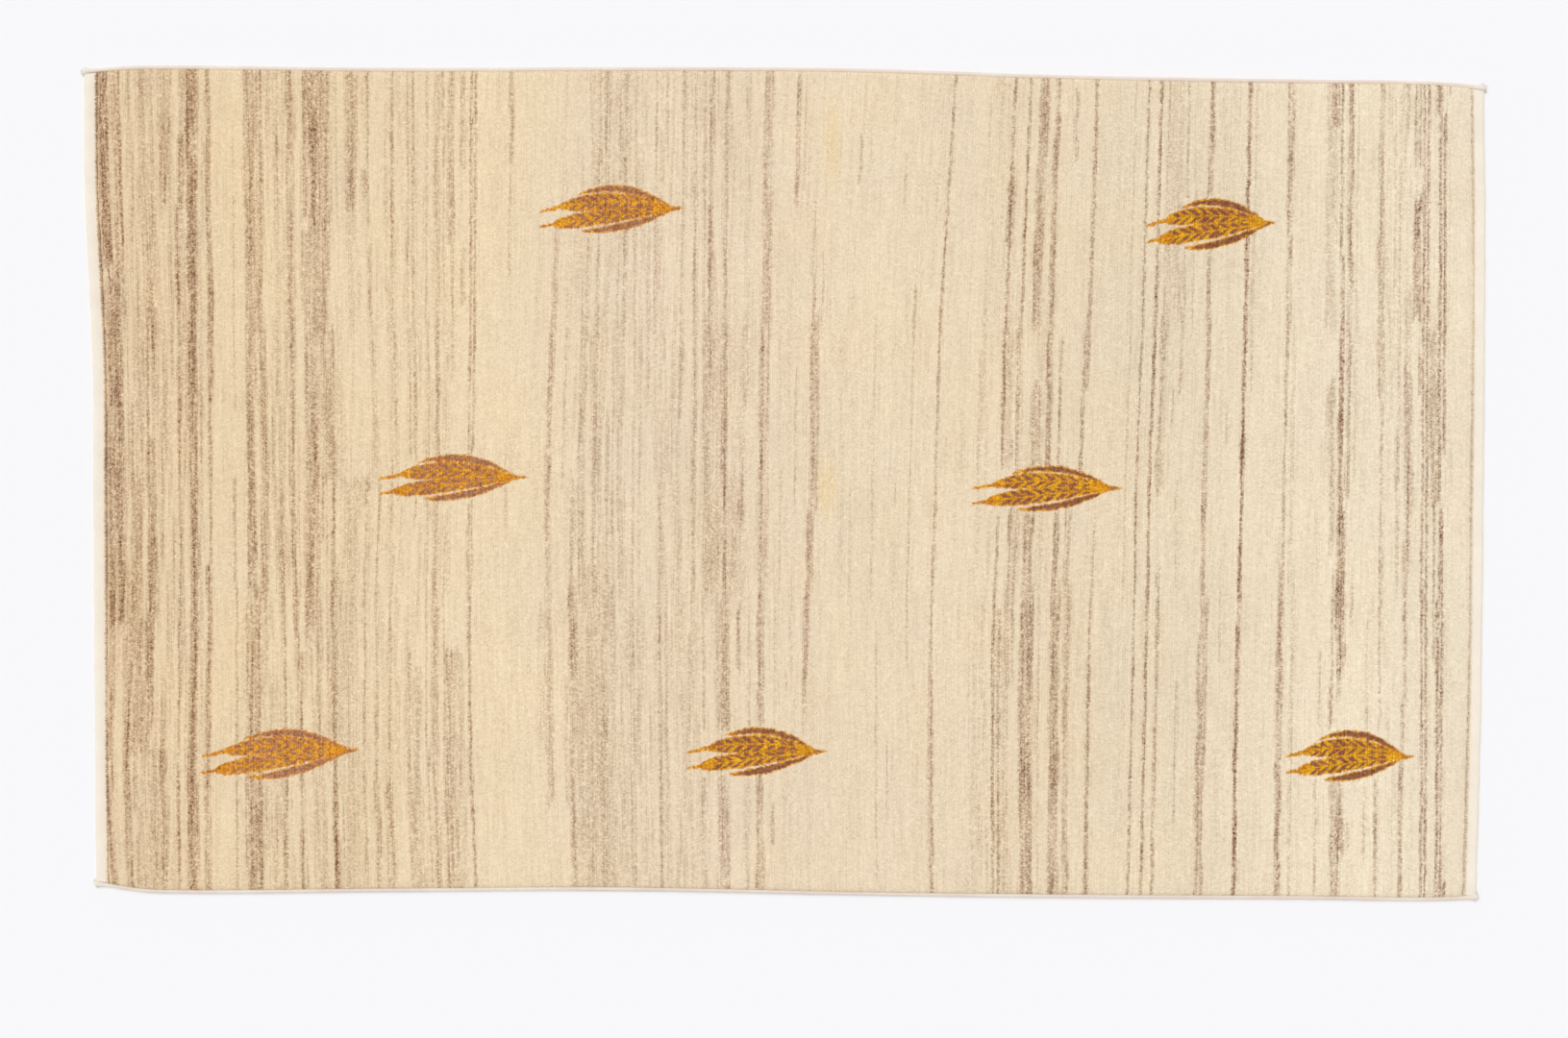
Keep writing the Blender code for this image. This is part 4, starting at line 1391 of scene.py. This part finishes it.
def make_binding(name, side, material):
    """One long edge's overcast binding: yarn wrapped round the edge cords, with a knot at each end."""
    reach = HALF_LENGTH + KNOT[-1].past_mm * MM
    stations = np.arange(-reach, reach, 0.5 * WRAP_PITCH)
    count = len(stations)
    on_turn = np.arange(count) % 2 == 0
    knot_at = [HALF_LENGTH + ring.past_mm * MM for ring in KNOT]
    thickness = np.interp(np.abs(stations), knot_at, [ring.thickness for ring in KNOT])
    generator = np.random.default_rng(81 if side > 0 else 82)
    wrap = np.arange(count) // 2
    wrap_size = 1 + 0.05 * (generator.random(wrap[-1] + 1)[wrap] - 0.5)
    ridge = np.where(on_turn, 1.0, WRAP_GROOVE) * wrap_size * thickness
    ridge *= 1 + 0.03 * noise(stations / (30 * MM), 0, 83)

    turns = 2 * math.pi * (np.arange(BINDING_SIDES) + 0.5) / BINDING_SIDES
    stretch = 1 / math.cos(math.pi / BINDING_SIDES)
    out, up = stretch * np.cos(turns)[None, :], stretch * np.sin(turns)[None, :]
    half_width, half_height = 0.5 * BINDING_WIDTH, 0.5 * BINDING_HEIGHT
    x_line, y_line = place_grid(stations, np.array([side * (HALF_WIDTH - half_width)]))
    slant = WRAP_SLANT * np.clip((reach - np.abs(stations)) / WRAP_SLANT_FADE, 0, 1)[:, None]
    x = x_line + slant * np.cos(turns)[None, :]
    y = y_line + side * half_width * out * ridge[:, None]
    z = np.maximum(half_height * (thickness[:, None] + up * ridge[:, None]), FLOOR_CLEARANCE)
    points = np.stack((x, y, z), axis=-1).reshape(-1, 3)
    quads, caps = tube_faces(0, count, BINDING_SIDES)
    if side < 0:
        quads, caps = [quad[::-1] for quad in quads], [cap[::-1] for cap in caps]
    binding = new_piece(name, points, quads, material, caps)

    pale, pink, buff = (srgb_to_linear(c) for c in (BINDING_PALE, BINDING_PINK, BINDING_BUFF))
    pink_share = np.clip(0.5 + 0.7 * noise(stations / (50 * MM), 0, 84), 0, 1)[:, None]
    buff_share = 0.35 * generator.random(wrap[-1] + 1)[wrap][:, None]
    colour = pale * (1 - pink_share) + pink * pink_share
    colour = colour * (1 - buff_share) + buff * buff_share
    # painted shade: the grooves between turns of the yarn are coloured darker
    colour = colour * np.where(on_turn, 1.0, 0.93)[:, None]
    paint(binding, np.repeat(colour, BINDING_SIDES, axis=0), np.zeros(len(points)))
    return binding


TUFT_SPACING = 2.3 * MM
TUFT_LENGTH = 3.2 * MM
TUFT_SIDES = 4
TUFT_WIDTH = 1.1 * MM
TUFT_ROOT = 1.6 * MM  # how far a tuft's foot lies inside the pile
TUFT_INSETS_MM = (18.6, 20.2)  # two staggered rows at each end


def tuft_spots():
    """Nominal places of the outermost knots, and which way each leans."""
    spots = []
    for side in (-1, 1):
        for across in np.arange(-CLOTH_HALF_WIDTH + 2 * MM, CLOTH_HALF_WIDTH - 2 * MM, TUFT_SPACING):
            for row, inset in enumerate(TUFT_INSETS_MM):
                staggered = across + 0.5 * row * TUFT_SPACING
                spots.append((side * (HALF_LENGTH - inset * MM), staggered, side, 0))
        for along in np.arange(-HALF_LENGTH + 20 * MM, HALF_LENGTH - 20 * MM, 1.5 * TUFT_SPACING):
            spots.append((along, side * (CLOTH_HALF_WIDTH - 1.4 * MM), 0, side))
    return spots


def make_rim_tufts(material):
    """The outermost knots of the pile, which lean out over the hems and the bindings."""
    generator = np.random.default_rng(91)
    turns = math.pi * (0.25 + 0.5 * np.arange(TUFT_SIDES))
    around = np.stack((np.cos(turns), np.sin(turns), np.zeros(TUFT_SIDES)), axis=-1)
    points, quads, caps, places = [], [], [], []
    for along, across, out_x, out_y in tuft_spots():
        x, y = place(along + generator.normal(0, 0.3 * MM), across + generator.normal(0, 0.3 * MM))
        low = 6.0 * MM if out_x else 5.6 * MM
        length = TUFT_LENGTH * (0.75 + 0.5 * generator.random())
        lean = (1.5 if out_x else 1.2) * MM * (0.6 + 0.8 * generator.random())
        drift = generator.normal(0, 0.5 * MM)
        foot = np.array((x, y, low))
        to_tip = np.array((out_x * lean + out_y * drift, out_y * lean + out_x * drift, length))
        tube, ends = tube_faces(3 * TUFT_SIDES * len(places), 3, TUFT_SIDES)
        quads += tube
        caps += ends
        places.append((x, y))
        points.append(foot - (0, 0, TUFT_ROOT) + TUFT_WIDTH * around)
        points.append(foot + 0.55 * to_tip + 0.95 * TUFT_WIDTH * around)
        points.append(foot + to_tip + 0.35 * TUFT_WIDTH * around)
    tufts = new_piece("rim_tufts", np.concatenate(points), quads, material, caps)
    places = np.array(places)
    lighter = 1 + 0.10 * (generator.random(len(places)) - 0.4)
    colours, flecks, row_numbers = pile_colours(places[:, 0], places[:, 1])
    looks = (colours * lighter[:, None], flecks, row_numbers)
    paint(tufts, *[np.repeat(values, 3 * TUFT_SIDES, axis=0) for values in looks])
    return tufts


YARN_SIDES = 5
YARN_STEPS = 5
YARNS_PER_CORNER = 16
YARN_FAN = math.radians(210)
YARN_TIP_HEIGHT = 1.0 * MM
YARN_COLOUR = (240, 232, 220)


def make_corner_yarns(material):
    """Short loose ends of the binding yarn, splayed out at the four corners."""
    generator = np.random.default_rng(95)
    rounds = 2 * math.pi * np.arange(YARN_SIDES) / YARN_SIDES
    points, quads, caps = [], [], []
    corners = [(side_x, side_y) for side_x in (-1, 1) for side_y in (-1, 1)]
    for strand in range(YARNS_PER_CORNER * len(corners)):
        side_x, side_y = corners[strand // YARNS_PER_CORNER]
        fan_share = (strand % YARNS_PER_CORNER) / (YARNS_PER_CORNER - 1) - 0.5
        heading = math.atan2(0.45 * side_y, side_x) + fan_share * YARN_FAN + generator.normal(0, 0.15)
        x, y = place(side_x * (HALF_LENGTH - 1.5 * MM), side_y * (HALF_WIDTH - 0.62 * BINDING_WIDTH))
        start = np.array((x, y, (2.6 + 3.2 * generator.random()) * MM))
        length = (5.0 + 3.0 * generator.random()) * MM
        curl = generator.normal(0, 0.6)
        thickness = (0.75 + 0.3 * generator.random()) * MM
        tube, ends = tube_faces(len(points), YARN_STEPS + 1, YARN_SIDES)
        quads += tube
        caps += ends
        for share in np.linspace(0, 1, YARN_STEPS + 1):
            turn = heading + curl * share
            ahead = np.array((math.cos(turn), math.sin(turn), 0))
            aside = np.array((-math.sin(turn), math.cos(turn), 0))
            drop = np.array((0, 0, (start[2] - YARN_TIP_HEIGHT) * share**2))
            centre = start + ahead * length * share - drop
            radius = thickness * (1 - 0.45 * share)
            for angle in rounds:
                upward = np.array((0, 0, math.sin(angle)))
                points.append(centre + radius * (aside * math.cos(angle) + upward))
    points = np.array(points)
    points[:, 2] = np.maximum(points[:, 2], FLOOR_CLEARANCE)
    yarns = new_piece("corner_yarns", points, quads, material, caps)
    strands = YARNS_PER_CORNER * len(corners)
    tone = 0.86 + 0.2 * np.random.default_rng(96).random(strands)
    tone = np.repeat(tone, YARN_SIDES * (YARN_STEPS + 1))[:, None]
    paint(yarns, srgb_to_linear(YARN_COLOUR) * tone, np.zeros(len(points)))
    return yarns


make_camera()
make_light()
floor = make_floor()
pile_wool = pile_material()
cloth_wool = back_material()
binding_wool = yarn_material("binding_wool_wrapped")
panels = make_pile(pile_wool)
cloth = make_cloth(cloth_wool)
binding_far = make_binding("overcast_binding_far", 1, binding_wool)
binding_near = make_binding("overcast_binding_near", -1, binding_wool)
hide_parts("binding_far")
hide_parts("binding_near")
tufts = make_rim_tufts(pile_wool)
yarns = make_corner_yarns(binding_wool)
